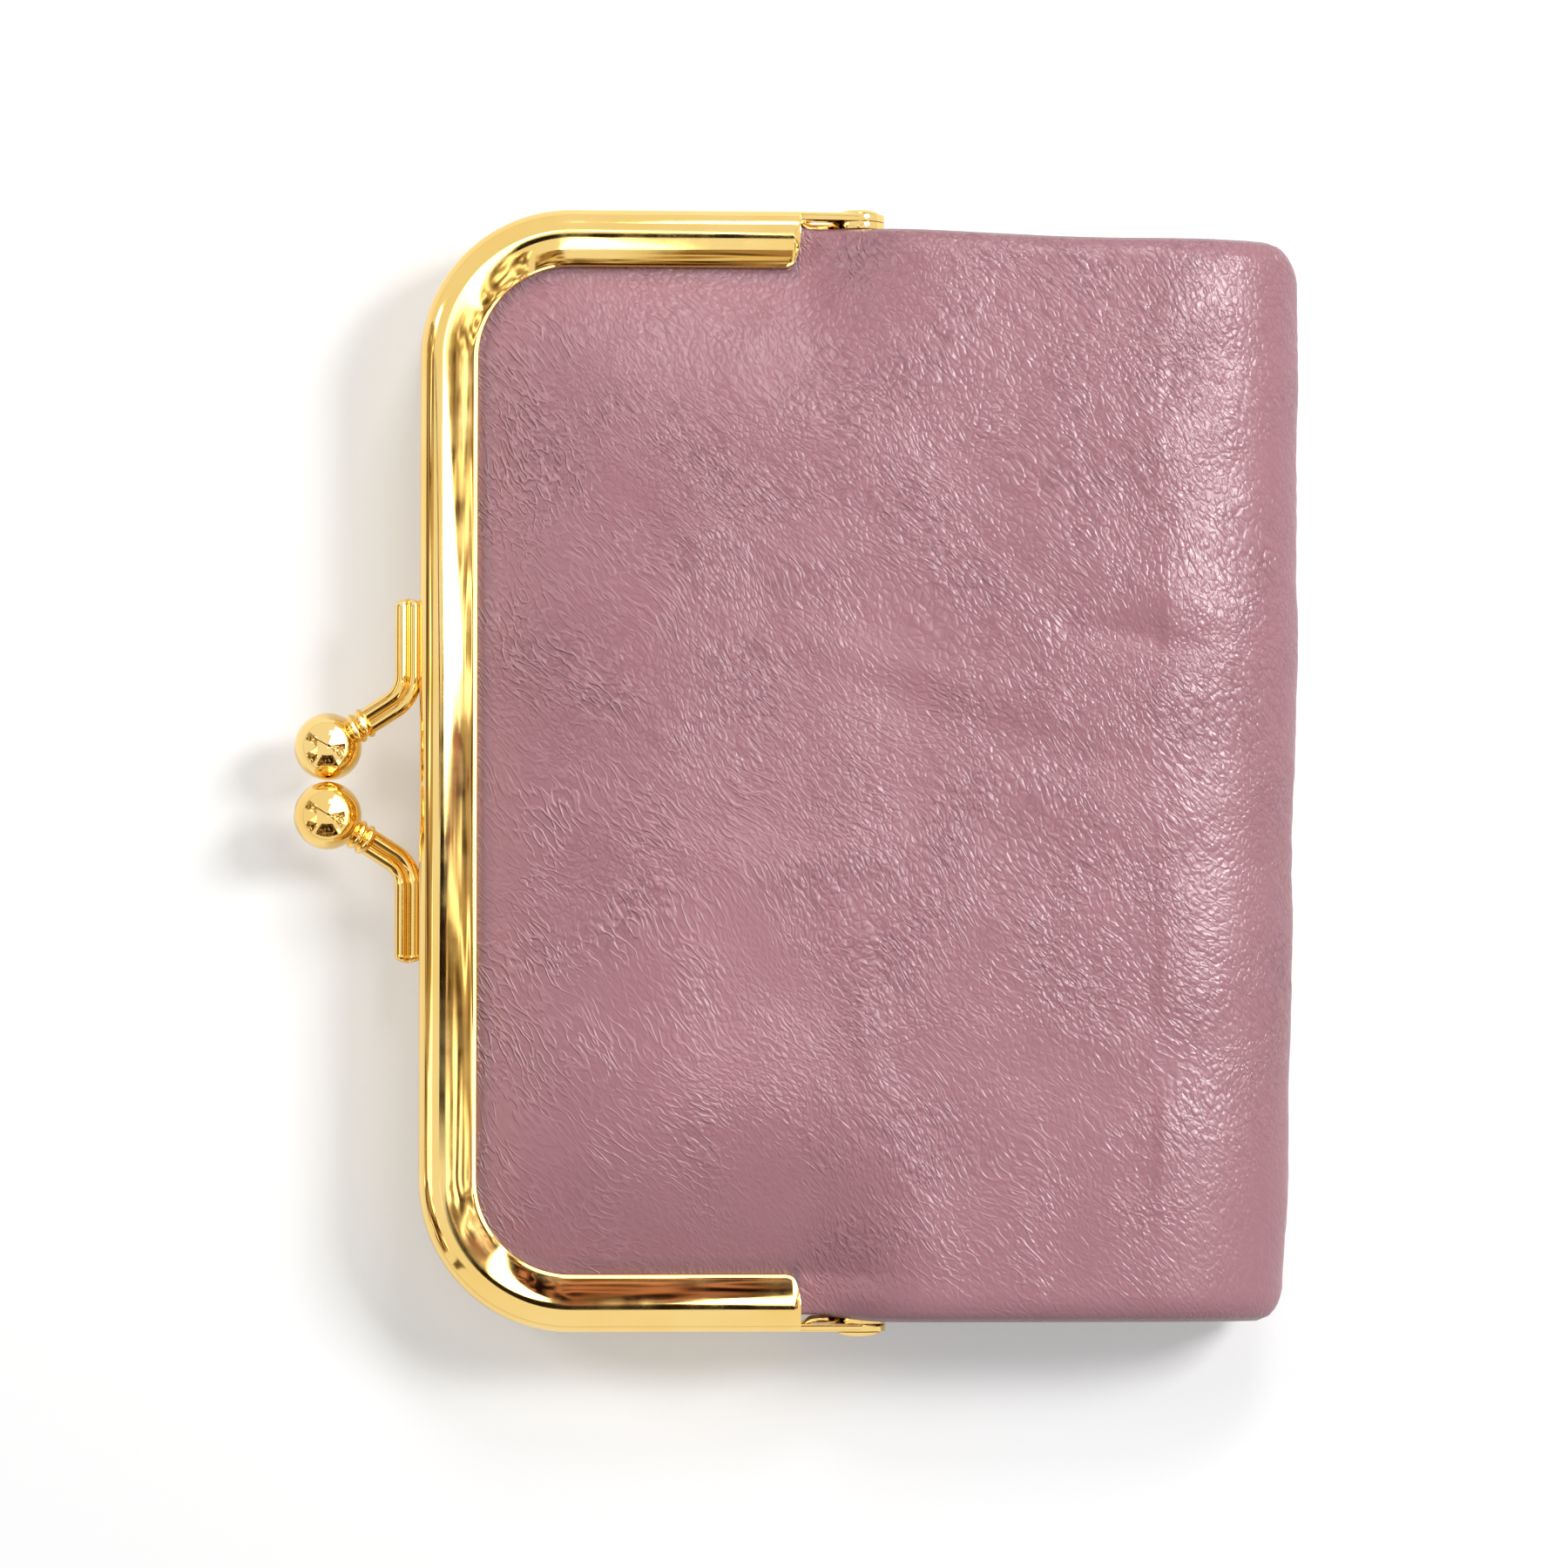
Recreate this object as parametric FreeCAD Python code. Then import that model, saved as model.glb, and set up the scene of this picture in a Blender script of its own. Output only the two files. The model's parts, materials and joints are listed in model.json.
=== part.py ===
import FreeCAD, Part
import math
import os

# Kiss lock frame purse, in millimetres, lying on its back panel. X runs from the clasp to the fold,
# Y along the hinge rivets and Z up through the front panel. The pieces are modelled about the plane
# where the two frame halves meet and lifted onto the ground at the end.

# Pouch
lower_panel_length = 25.0
pouch_thickness = 16.0
fold_corner_radius = 3.0
leather_thickness = 1.1
stiffener_thickness = 0.5
lining_thickness = 0.35
layer_gap = 0.05
mouth_rise_length = 26.0
arm_rise_length = 24.0
back_rise_length = 17.0
plateau_trim = 0.05
crease_reach = 9.0
board_margin = 1.0
surface_step = 3.0

# Gussets
gusset_thickness = 0.9
gusset_depth = 8.0
gusset_edge_inset = 0.5
gusset_clearance = 0.3
gusset_start = 6.2

# Frame halves, each a channel folded from sheet
frame_width = 108.0
frame_corner_radius = 14.6
arm_length = 36.6
channel_depth = 5.2
halves_gap = 0.2
frame_sheet = 0.7
flange_width = 5.6
flange_drop = 1.0
flange_end_set_back = 1.2
inner_flange_width = 4.4
shoulder_radius = 2.0
inner_bend_radius = 0.95
leather_edge_gap = 1.0
cord_diameter = 0.9

# Hinges
hinge_overhang = 5.8
eye_radius = 2.6
tab_root_height = 3.4
tab_split = 0.3
tabs_gap = 0.05
joggle_length = 1.4
rivet_radius = 1.0
rivet_head_radius = 2.1
rivet_head_height = 0.6
rivet_end_radius = 1.7
rivet_end_height = 0.45
rivet_clearance = 0.05
head_clearance = 0.03

# Clasp
ball_diameter = 6.55
balls_gap = 0.15
ball_reach = 8.8
ball_crossing = 0.6
clasp_set_off = -1.1
stem_lean_degrees = 32.0
stem_width = 2.6
stem_ridge_radius = 0.72
stem_bend_radius = 3.2
stem_bite = 0.25
foot_end = 16.75
peg_radius = 0.75
peg_depth = 1.8
collar_length = 1.9
collar_radius = 1.55
collar_waist_radius = 1.2
collar_seat = 0.3

overrun = 5.0
half_turn = 180.0

# Places that follow from the sizes above
crown = pouch_thickness / 2
ball_radius = ball_diameter / 2
pouch_length = arm_length + hinge_overhang + crease_reach + lower_panel_length + crown
spine_x = (ball_reach + ball_radius - pouch_length) / 2
fold_x = spine_x + pouch_length
fold_axis_x = fold_x - crown
arm_x = spine_x + arm_length
hinge_x = arm_x + hinge_overhang
crease_end_x = hinge_x + crease_reach
side_y = frame_width / 2
split_z = halves_gap / 2
channel_top = split_z + channel_depth
under_hide = leather_thickness + layer_gap
lining_depth = under_hide + stiffener_thickness + layer_gap
leather_inset = frame_sheet + leather_edge_gap
leather_y = side_y - leather_inset

axis_x = FreeCAD.Vector(1, 0, 0)
axis_y = FreeCAD.Vector(0, 1, 0)
axis_z = FreeCAD.Vector(0, 0, 1)
middle = FreeCAD.Vector(0, 0, 0)


def point(x, y, z=0.0):
    return FreeCAD.Vector(x, y, z)


def line(start, end):
    return Part.LineSegment(start, end).toShape()


def tangent_arc(start, direction, end):
    # The arc that leaves start along direction and ends at end.
    chord = end - start
    along = FreeCAD.Vector(direction).normalize()
    across = (chord - along * chord.dot(along)).normalize()
    radius = chord.dot(chord) / (2 * chord.dot(across))
    half_angle = math.asin(chord.Length / (2 * radius))
    rise = radius * (1 - math.cos(half_angle))
    halfway = start + along * (radius * math.sin(half_angle)) + across * rise
    return Part.Arc(start, halfway, end).toShape()


def face_of(edges):
    return Part.Face(Part.Wire(edges))


def polygon(points):
    return face_of([line(a, b) for a, b in zip(points, points[1:] + points[:1])])


def block(low, high):
    return Part.makeBox(high.x - low.x, high.y - low.y, high.z - low.z, low)


def turned_over(shape, y=0.0):
    # The same piece on the other half: half a turn about an axis along X.
    other = shape.copy()
    other.rotate(point(0, y), axis_x, half_turn)
    return other


def smooth(value):
    clamped = min(max(value, 0.0), 1.0)
    return clamped * clamped * (3 - 2 * clamped)


# Frame halves

def mouth_path(inset, end_x):
    # The U that the frame follows, a given distance inside its outer face.
    radius = frame_corner_radius - inset
    low_x = spine_x + inset
    high_y = side_y - inset
    corner_x = low_x + radius
    corner_y = high_y - radius
    lower_corner = tangent_arc(point(corner_x, -high_y), -axis_x, point(low_x, -corner_y))
    upper_corner = tangent_arc(point(low_x, corner_y), axis_y, point(corner_x, high_y))
    return Part.Wire([
        line(point(end_x, -high_y), point(corner_x, -high_y)),
        lower_corner,
        line(point(low_x, -corner_y), point(low_x, corner_y)),
        upper_corner,
        line(point(corner_x, high_y), point(end_x, high_y)),
    ])


def flange_fall(inset):
    # How far the crowned front flange has fallen at its inner edge, for its outer or inner skin.
    reach = flange_width - shoulder_radius
    radius = (reach * reach + flange_drop * flange_drop) / (2 * flange_drop)
    return radius - math.sqrt((radius - inset) ** 2 - reach * reach)


def channel_section():
    # Open channel section at the lower arm's end: inner flange, outer wall, shoulder, front flange.
    def at(inward, up):
        return point(arm_x, inward - side_y, up)

    inner_radius = inner_bend_radius
    low_inside = split_z + frame_sheet
    high_inside = channel_top - frame_sheet
    wall_low = split_z + inner_radius
    wall_high = channel_top - shoulder_radius
    edge_top = at(flange_width, channel_top - flange_fall(0))
    edge_under = at(flange_width, channel_top - flange_fall(frame_sheet))
    return Part.Wire([
        line(at(inner_flange_width, split_z), at(inner_radius, split_z)),
        tangent_arc(at(inner_radius, split_z), -axis_y, at(0, wall_low)),
        line(at(0, wall_low), at(0, wall_high)),
        tangent_arc(at(0, wall_high), axis_z, at(shoulder_radius, channel_top)),
        tangent_arc(at(shoulder_radius, channel_top), axis_y, edge_top),
        line(edge_top, edge_under),
        tangent_arc(at(shoulder_radius, high_inside), axis_y, edge_under),
        tangent_arc(at(frame_sheet, wall_high), axis_z, at(shoulder_radius, high_inside)),
        line(at(frame_sheet, wall_high), at(frame_sheet, wall_low)),
        tangent_arc(at(inner_radius, low_inside), -axis_y, at(frame_sheet, wall_low)),
        line(at(inner_radius, low_inside), at(inner_flange_width, low_inside)),
        line(at(inner_flange_width, low_inside), at(inner_flange_width, split_z)),
    ])


def flange_end_cut(side):
    # Rounds the inner corner of the flanges at an arm's end.
    outer = point(arm_x, side * (side_y - shoulder_radius))
    inner = point(arm_x - flange_end_set_back, side * (side_y - flange_width))
    past = point(arm_x + overrun, inner.y)
    region = face_of([
        tangent_arc(outer, -axis_y * side, inner),
        line(inner, past),
        line(past, point(past.x, outer.y)),
        line(point(past.x, outer.y), outer),
    ])
    return region.extrude(axis_z * (channel_top + overrun))


def hinge_tab(side, step, hole_radius):
    # Strip that runs on from the outer wall to the hinge eye, stepped inwards by a given amount.
    joggle_end = arm_x + joggle_length
    tip_x = hinge_x + eye_radius + overrun
    root_x = arm_x - joggle_length
    wall = side_y
    inside = side_y - frame_sheet
    strip = polygon([
        point(root_x, side * wall),
        point(arm_x, side * wall),
        point(joggle_end, side * (wall - step)),
        point(tip_x, side * (wall - step)),
        point(tip_x, side * (inside - step)),
        point(joggle_end, side * (inside - step)),
        point(arm_x, side * inside),
        point(root_x, side * inside),
    ])
    strip.translate(axis_z * -channel_top)
    strip = strip.extrude(axis_z * (2 * channel_top))
    neck = polygon([
        point(root_x, -frame_width, tab_split),
        point(root_x, -frame_width, tab_root_height),
        point(hinge_x, -frame_width, eye_radius),
        point(hinge_x, -frame_width, tab_split),
    ]).extrude(axis_y * (2 * frame_width))
    eye = Part.makeCylinder(eye_radius, 2 * frame_width, point(hinge_x, -frame_width), axis_y)
    hole = Part.makeCylinder(hole_radius, 2 * frame_width, point(hinge_x, -frame_width), axis_y)
    return strip.common(neck.fuse(eye)).cut(hole)


def frame_half(step, hole_radius):
    half = mouth_path(0, arm_x).makePipeShell([channel_section()], True, False)
    for side in (-1, 1):
        half = half.cut(flange_end_cut(side))
        half = half.fuse(hinge_tab(side, step, hole_radius))
    return half.removeSplitter()


def paper_cord():
    # Twisted paper cord wedged into the channel between its wall and the leather's edge.
    radius = cord_diameter / 2
    inset = frame_sheet + layer_gap + radius
    height = split_z + frame_sheet + layer_gap + radius
    end_x = arm_x - flange_end_set_back
    route = mouth_path(inset, end_x)
    route.translate(axis_z * height)
    section = Part.Wire(Part.makeCircle(radius, point(end_x, inset - side_y, height), axis_x))
    return route.makePipeShell([section], True, False)


def hinge_rivet():
    # Rivet of the upper hinge, about an axis along Y: flat domed head outside, peened end inside.
    def at(radius, y):
        return point(hinge_x + radius, y)

    head_y = side_y + head_clearance
    end_y = side_y - 2 * frame_sheet - tabs_gap
    head_top = at(0, head_y + rivet_head_height)
    head_edge = at(rivet_head_radius, head_y)
    end_top = at(0, end_y - rivet_end_height)
    end_edge = at(rivet_end_radius, end_y)
    section = face_of([
        tangent_arc(head_top, axis_x, head_edge),
        line(head_edge, at(rivet_radius, head_y)),
        line(at(rivet_radius, head_y), at(rivet_radius, end_y)),
        line(at(rivet_radius, end_y), end_edge),
        tangent_arc(end_top, axis_x, end_edge),
        line(end_top, head_top),
    ])
    return section.revolve(point(hinge_x, 0), axis_y, 2 * half_turn)


# Clasp, modelled for the front half about the spine's middle

lean = math.radians(stem_lean_degrees)
foot_x = spine_x - stem_width / 2 + stem_bite
foot_z = (split_z + inner_bend_radius + channel_top - shoulder_radius) / 2
ball_centre = point(spine_x - ball_reach, clasp_set_off + ball_radius + balls_gap / 2, -ball_crossing)
corner_y = ball_centre.y + (foot_x - ball_centre.x) * math.tan(lean)
stem_corner = point(foot_x, corner_y, foot_z)
stem_foot = point(foot_x, clasp_set_off + foot_end, foot_z)
foot_way = -axis_y
stem_axis = (stem_corner - ball_centre).normalize()


def along_stem(distance):
    return ball_centre + stem_axis * distance


def clasp_stem():
    # Double-ridged strip: a foot along the spine, one bend, and a leaning shank with a peg for the ball.
    turn = math.acos(foot_way.dot(-stem_axis))
    trim = stem_bend_radius * math.tan(turn / 2)
    bend_start = stem_corner - foot_way * trim
    bend_end = stem_corner - stem_axis * trim
    shank_end = along_stem(ball_radius - collar_seat + collar_length)
    path = Part.Wire([
        line(stem_foot, bend_start),
        tangent_arc(bend_start, foot_way, bend_end),
        line(bend_end, shank_end),
    ])
    outward = (-stem_axis - foot_way * foot_way.dot(-stem_axis)).normalize()
    spread = stem_width / 2 - stem_ridge_radius
    ridges = []
    for side in (-1, 1):
        centre = stem_foot + outward * (side * spread)
        ring = Part.Wire(Part.makeCircle(stem_ridge_radius, centre, foot_way))
        ridges.append(path.makePipeShell([ring], True, False))
        ridges.append(Part.makeSphere(stem_ridge_radius, centre))
    peg_length = collar_length - collar_seat + peg_depth
    peg = Part.makeCylinder(peg_radius, peg_length, along_stem(ball_radius - peg_depth), stem_axis)
    return ridges[0].fuse(ridges[1:] + [peg]).removeSplitter()


def clasp_collar():
    # Turned ring of two beads between shank and ball.
    start = ball_radius - collar_seat
    bead = collar_length / 2

    def at(distance, radius):
        return point(distance, radius)

    def bead_arc(first):
        crest = at(first + bead / 2, collar_radius)
        return Part.Arc(at(first, collar_waist_radius), crest, at(first + bead, collar_waist_radius)).toShape()

    end = start + collar_length
    section = face_of([
        line(at(start, peg_radius), at(start, collar_waist_radius)),
        bead_arc(start),
        bead_arc(start + bead),
        line(at(end, collar_waist_radius), at(end, peg_radius)),
        line(at(end, peg_radius), at(start, peg_radius)),
    ])
    ring = section.revolve(middle, axis_x, 2 * half_turn)
    ring.Placement = FreeCAD.Placement(ball_centre, FreeCAD.Rotation(axis_x, stem_axis))
    return ring


def clasp_ball(collar, stem):
    return Part.makeSphere(ball_radius, ball_centre).cut(collar).cut(stem)


# Soft pouch: leather, boards and lining are layers under one outer shape

emerge = channel_top - flange_fall(frame_sheet) - layer_gap
flange_x = spine_x + flange_width
flange_y = side_y - flange_width


def height_at(x, y, mouth_length, side_length):
    # Outer skin above the parting plane: low under the flanges, full past the hinges.
    from_mouth = smooth((x - flange_x) / mouth_length)
    from_arm = smooth((flange_y - abs(y)) / side_length)
    past_arm = smooth((x - arm_x) / (crease_end_x - arm_x))
    return emerge + (crown + plateau_trim - emerge) * from_mouth * (from_arm + (1 - from_arm) * past_arm)


def spread_between(low, high):
    count = math.ceil((high - low) / surface_step)
    return [low + (high - low) * i / count for i in range(count + 1)]


def panel_skin(mouth_length, side_length, depth):
    # Skin of a panel that lies a given depth under the outer one.
    rows = [
        [point(x, y, height_at(x, y, mouth_length, side_length) - depth)
         for y in spread_between(-side_y, side_y)]
        for x in spread_between(spine_x, fold_axis_x)
    ]
    skin = Part.BSplineSurface()
    skin.interpolate(rows)
    return skin.toShape()


def panel(mouth_length, side_length, depth, thickness):
    # What lies under a skin to a given thickness, flattened where the panel is full.
    under = panel_skin(mouth_length, side_length, depth).extrude(axis_z * -thickness)
    return under.common(block(point(spine_x, -side_y), point(fold_axis_x, side_y, crown - depth)))


def front_panel(depth, thickness):
    return panel(mouth_rise_length, arm_rise_length, depth, thickness)


def back_panel(depth, thickness):
    return turned_over(panel(back_rise_length, back_rise_length, depth, thickness))


def half_round(radius):
    # Half cylinder about the fold's axis.
    whole = Part.makeCylinder(radius, frame_width, point(fold_axis_x, -side_y), axis_y)
    return whole.common(block(point(fold_axis_x, -side_y, -crown), point(fold_x, side_y, crown)))


def fold(depth, thickness):
    # Stretch of a layer that goes round the closed end.
    return half_round(crown - depth).cut(half_round(crown - depth - thickness))


def plan(inset_mouth, half_width, far_x, far_radius):
    # Plan outline of a layer, rounded to the frame at the mouth and to the fold's corners beyond.
    low_x = spine_x + inset_mouth
    near_radius = frame_corner_radius - inset_mouth
    near_x = low_x + near_radius
    near_y = half_width - near_radius
    back_x = far_x - far_radius
    back_y = half_width - far_radius
    outline = face_of([
        line(point(near_x, -half_width), point(back_x, -half_width)),
        tangent_arc(point(back_x, -half_width), axis_x, point(far_x, -back_y)),
        line(point(far_x, -back_y), point(far_x, back_y)),
        tangent_arc(point(far_x, back_y), axis_y, point(back_x, half_width)),
        line(point(back_x, half_width), point(near_x, half_width)),
        tangent_arc(point(near_x, half_width), -axis_x, point(low_x, near_y)),
        line(point(low_x, near_y), point(low_x, -near_y)),
        tangent_arc(point(low_x, -near_y), -axis_y, point(near_x, -half_width)),
    ])
    outline.translate(axis_z * -pouch_thickness)
    return outline.extrude(axis_z * (2 * pouch_thickness))


def stretch(shape, low_x, high_x):
    return shape.common(block(point(low_x, -side_y, -crown), point(high_x, side_y, crown)))


gusset_rooms = [
    front_panel(under_hide, pouch_thickness),
    back_panel(under_hide, pouch_thickness),
    half_round(crown - under_hide),
]
gusset_start_x = hinge_x + gusset_start
gusset_skin = gusset_thickness * math.hypot(gusset_depth, crown) / crown


def gusset_fold(side, start_x, inward):
    # The fold's line across the pouch, from panel to panel, shifted inwards by a given amount.
    edge = leather_y - gusset_edge_inset - inward
    tip = edge - gusset_depth
    return [point(start_x, side * edge, crown), point(start_x, side * tip), point(start_x, side * edge, -crown)]


def gusset(side):
    # Strip folded inwards between the panels' edges, shaped to the space between them.
    outer = gusset_fold(side, gusset_start_x, 0)
    inner = gusset_fold(side, gusset_start_x, gusset_skin)
    strip = polygon(outer + inner[::-1]).extrude(axis_x * (fold_x - gusset_start_x))
    legs = [strip.common(room) for room in gusset_rooms]
    return legs[0].fuse(legs[1:]).removeSplitter()


def gusset_side(side):
    # All that lies outside a gusset's inner face, which the lining stays clear of.
    start_x = gusset_start_x - gusset_clearance
    inner = gusset_fold(side, start_x, gusset_skin + gusset_clearance)
    outer = [point(start_x, side * side_y, -crown), point(start_x, side * side_y, crown)]
    return polygon(inner + outer).extrude(axis_x * (fold_x - start_x))


# All pieces

front_frame = frame_half(0, rivet_radius + rivet_clearance)
back_frame = turned_over(frame_half(frame_sheet + tabs_gap, rivet_radius))
upper_rivet = hinge_rivet()
front_cord = paper_cord()

stem = clasp_stem().cut(front_frame)
collar = clasp_collar()
ball = clasp_ball(collar, stem)

hide_outline = plan(leather_inset, leather_y, fold_x, fold_corner_radius)
front_hide = front_panel(0, leather_thickness).common(hide_outline)
back_hide = back_panel(0, leather_thickness).common(hide_outline)
fold_hide = fold(0, leather_thickness).common(hide_outline)

board_outline = plan(flange_width + board_margin, flange_y - board_margin, fold_axis_x, fold_corner_radius)
front_board = front_panel(under_hide, stiffener_thickness).common(board_outline)
back_board = back_panel(under_hide, stiffener_thickness).common(board_outline)

lining_outline = hide_outline.cut(gusset_side(1)).cut(gusset_side(-1))
front_cloth = front_panel(lining_depth, lining_thickness).common(lining_outline)
back_cloth = back_panel(lining_depth, lining_thickness).common(lining_outline)
fold_cloth = fold(lining_depth, lining_thickness).common(lining_outline)
lower_front_cloth = stretch(front_cloth, crease_end_x, fold_axis_x)

pieces = {
    "front_frame": front_frame,
    "back_frame": back_frame,
    "upper_hinge_rivet": upper_rivet,
    "lower_hinge_rivet": turned_over(upper_rivet),
    "front_paper_cord": front_cord,
    "back_paper_cord": turned_over(front_cord),
    "front_clasp_stem": stem,
    "front_clasp_collar": collar,
    "front_clasp_ball": ball,
    "back_clasp_stem": turned_over(stem, clasp_set_off),
    "back_clasp_collar": turned_over(collar, clasp_set_off),
    "back_clasp_ball": turned_over(ball, clasp_set_off),
    "front_leather": stretch(front_hide, spine_x, arm_x),
    "crease_leather": stretch(front_hide, arm_x, crease_end_x),
    "lower_front_leather": stretch(front_hide, crease_end_x, fold_axis_x),
    "fold_leather": fold_hide,
    "back_leather": back_hide,
    "front_stiffener": stretch(front_board, spine_x, arm_x - board_margin),
    "lower_front_stiffener": stretch(front_board, crease_end_x + board_margin, fold_axis_x),
    "back_stiffener": back_board,
    "front_lining": stretch(front_cloth, spine_x, arm_x),
    "crease_lining": stretch(front_cloth, arm_x, crease_end_x),
    "pouch_lining": lower_front_cloth.fuse([fold_cloth, back_cloth]).removeSplitter(),
    "upper_gusset": gusset(1),
    "lower_gusset": gusset(-1),
}

os.makedirs("parts", exist_ok=True)
for name, shape in pieces.items():
    solid = shape.Solids[0] if len(shape.Solids) == 1 else shape
    solid.translate(axis_z * crown)
    solid.exportStep("parts/" + name + ".step")
    print(name, "solids", len(shape.Solids), "volume", round(shape.Volume, 2), "valid", shape.isValid())
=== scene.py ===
import json
import math

import bmesh
import bpy
import numpy as np
from mathutils import Matrix, Vector


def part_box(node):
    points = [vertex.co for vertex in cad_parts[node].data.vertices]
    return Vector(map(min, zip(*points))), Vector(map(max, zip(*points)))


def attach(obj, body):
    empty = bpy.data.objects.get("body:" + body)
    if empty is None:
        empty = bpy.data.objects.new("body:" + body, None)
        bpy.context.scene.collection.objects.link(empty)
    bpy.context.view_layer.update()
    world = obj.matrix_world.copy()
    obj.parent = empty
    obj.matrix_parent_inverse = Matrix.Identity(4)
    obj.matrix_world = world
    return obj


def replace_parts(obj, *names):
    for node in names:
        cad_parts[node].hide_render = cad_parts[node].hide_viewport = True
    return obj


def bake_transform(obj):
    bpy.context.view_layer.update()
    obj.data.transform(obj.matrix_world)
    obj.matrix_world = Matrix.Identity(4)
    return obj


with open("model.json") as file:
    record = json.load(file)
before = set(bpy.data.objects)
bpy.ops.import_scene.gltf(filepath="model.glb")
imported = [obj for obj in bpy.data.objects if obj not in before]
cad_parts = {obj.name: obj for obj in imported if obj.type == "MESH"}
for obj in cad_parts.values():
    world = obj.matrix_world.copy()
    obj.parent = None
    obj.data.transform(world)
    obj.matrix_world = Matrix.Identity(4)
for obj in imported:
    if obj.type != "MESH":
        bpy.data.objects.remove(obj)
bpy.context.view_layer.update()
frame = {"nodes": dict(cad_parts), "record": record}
scene = bpy.context.scene
mm = 0.001
print("frame loaded:", len(frame["nodes"]), "solids")


# places read from the solids, in millimetres
def boxMm(node):
    low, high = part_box(node)
    return np.array(low) / mm, np.array(high) / mm


spineX = boxMm("front_frame")[0][0]
sideY = boxMm("front_frame")[1][1]
topZ = boxMm("front_frame")[1][2]
armX = boxMm("front_leather")[1][0]
creaseEndX = boxMm("crease_leather")[1][0]
foldAxisX = boxMm("lower_front_leather")[1][0]
foldX = boxMm("fold_leather")[1][0]
leatherY = boxMm("lower_front_leather")[1][1]
crownZ = boxMm("fold_leather")[1][2]
hingeAt = np.array(frame["record"]["behaviour"]["joints"][0]["pos_m"]) / mm
hingeX, midZ = hingeAt[0], hingeAt[2]
foldRadius = foldX - foldAxisX


# small helpers
def smooth(value):
    value = np.clip(value, 0.0, 1.0)
    return value * value * (3 - 2 * value)


def arcRun(cx, cy, radius, fromDegrees, toDegrees, steps):
    turn = np.radians(np.linspace(fromDegrees, toDegrees, steps + 1))
    return [(cx + radius * math.cos(a), cy + radius * math.sin(a)) for a in turn]


def softCorner(before, corner, after, steps):
    # rounds a corner of a section between two points
    t = np.linspace(0, 1, steps + 1)[:, None]
    run = (1 - t) ** 2 * np.array(before) + 2 * t * (1 - t) * np.array(corner) + t ** 2 * np.array(after)
    return [tuple(p) for p in run]


def driftNoise(x, y, seed):
    # gentle gradient noise, the same each run
    cellX, cellY = np.floor(x), np.floor(y)
    dx, dy = x - cellX, y - cellY

    def pull(ix, iy, px, py):
        angle = np.sin(ix * 127.1 + iy * 311.7 + seed * 74.7) * 43758.5453
        angle = (angle - np.floor(angle)) * 2 * math.pi
        return np.cos(angle) * px + np.sin(angle) * py

    u = dx ** 3 * (dx * (dx * 6 - 15) + 10)
    v = dy ** 3 * (dy * (dy * 6 - 15) + 10)
    lower = pull(cellX, cellY, dx, dy) * (1 - u) + pull(cellX + 1, cellY, dx - 1, dy) * u
    upper = pull(cellX, cellY + 1, dx, dy - 1) * (1 - u) + pull(cellX + 1, cellY + 1, dx - 1, dy - 1) * u
    return (lower * (1 - v) + upper * v) * 1.5


def addObject(name, data):
    obj = bpy.data.objects.new(name, data)
    scene.collection.objects.link(obj)
    return obj


def makePiece(name, points, faces, material, sharpDegrees):
    # points in millimetres, placed in the mesh
    mesh = bpy.data.meshes.new(name)
    mesh.from_pydata([tuple(p) for p in np.asarray(points, float) * mm], [], [tuple(f) for f in faces])
    mesh.materials.append(material)
    shadeSmooth(mesh, sharpDegrees)
    return addObject(name, mesh)


def shadeSmooth(mesh, sharpDegrees):
    mesh.polygons.foreach_set("use_smooth", np.ones(len(mesh.polygons), bool))
    if sharpDegrees < 180:
        mesh.set_sharp_from_angle(angle=math.radians(sharpDegrees))
    mesh.update()


def tidyMesh(mesh, sharpDegrees):
    # merges doubled points and turns all faces outwards
    work = bmesh.new()
    work.from_mesh(mesh)
    bmesh.ops.remove_doubles(work, verts=work.verts, dist=1e-7)
    bmesh.ops.dissolve_degenerate(work, edges=work.edges, dist=1e-8)
    bmesh.ops.recalc_face_normals(work, faces=work.faces)
    work.to_mesh(mesh)
    work.free()
    shadeSmooth(mesh, sharpDegrees)


def meshPoints(mesh):
    # the mesh's points in millimetres
    points = np.empty(len(mesh.vertices) * 3)
    mesh.vertices.foreach_get("co", points)
    return points.reshape(-1, 3) / mm


def movePoints(mesh, points):
    mesh.vertices.foreach_set("co", (points * mm).ravel())


def pointValues(mesh, name, values):
    # an attribute for the finish to read
    layer = mesh.attributes.new(name, "FLOAT", "POINT")
    layer.data.foreach_set("value", values.astype(np.float32))


def gridFaces(grid, flip=False):
    # four-sided faces between the point numbers of a grid
    corners = zip(grid[:-1, :-1].ravel(), grid[1:, :-1].ravel(), grid[1:, 1:].ravel(), grid[:-1, 1:].ravel())
    return [(a, d, c, b) if flip else (a, b, c, d) for a, b, c, d in corners]


def keepResult(obj):
    # puts the mesh that the modifiers give in place of the plain one
    graph = bpy.context.evaluated_depsgraph_get()
    mesh = bpy.data.meshes.new_from_object(obj.evaluated_get(graph), depsgraph=graph)
    obj.modifiers.clear()
    obj.data = mesh
    return mesh


def outlineObject(name, points, closed):
    # a bare line of edges, for a tree to sweep along or to sweep
    mesh = bpy.data.meshes.new(name)
    count = len(points)
    edges = [(i, (i + 1) % count) for i in range(count if closed else count - 1)]
    mesh.from_pydata([tuple(np.array(p, float) * mm) for p in points], edges, [])
    return addObject(name, mesh)


def feed(tree, node, values):
    # links the sockets among the values to the node's inputs and sets the rest there
    for key, value in values.items():
        if isinstance(value, bpy.types.NodeSocket):
            tree.links.new(value, node.inputs[key])
        else:
            node.inputs[key].default_value = value


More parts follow.
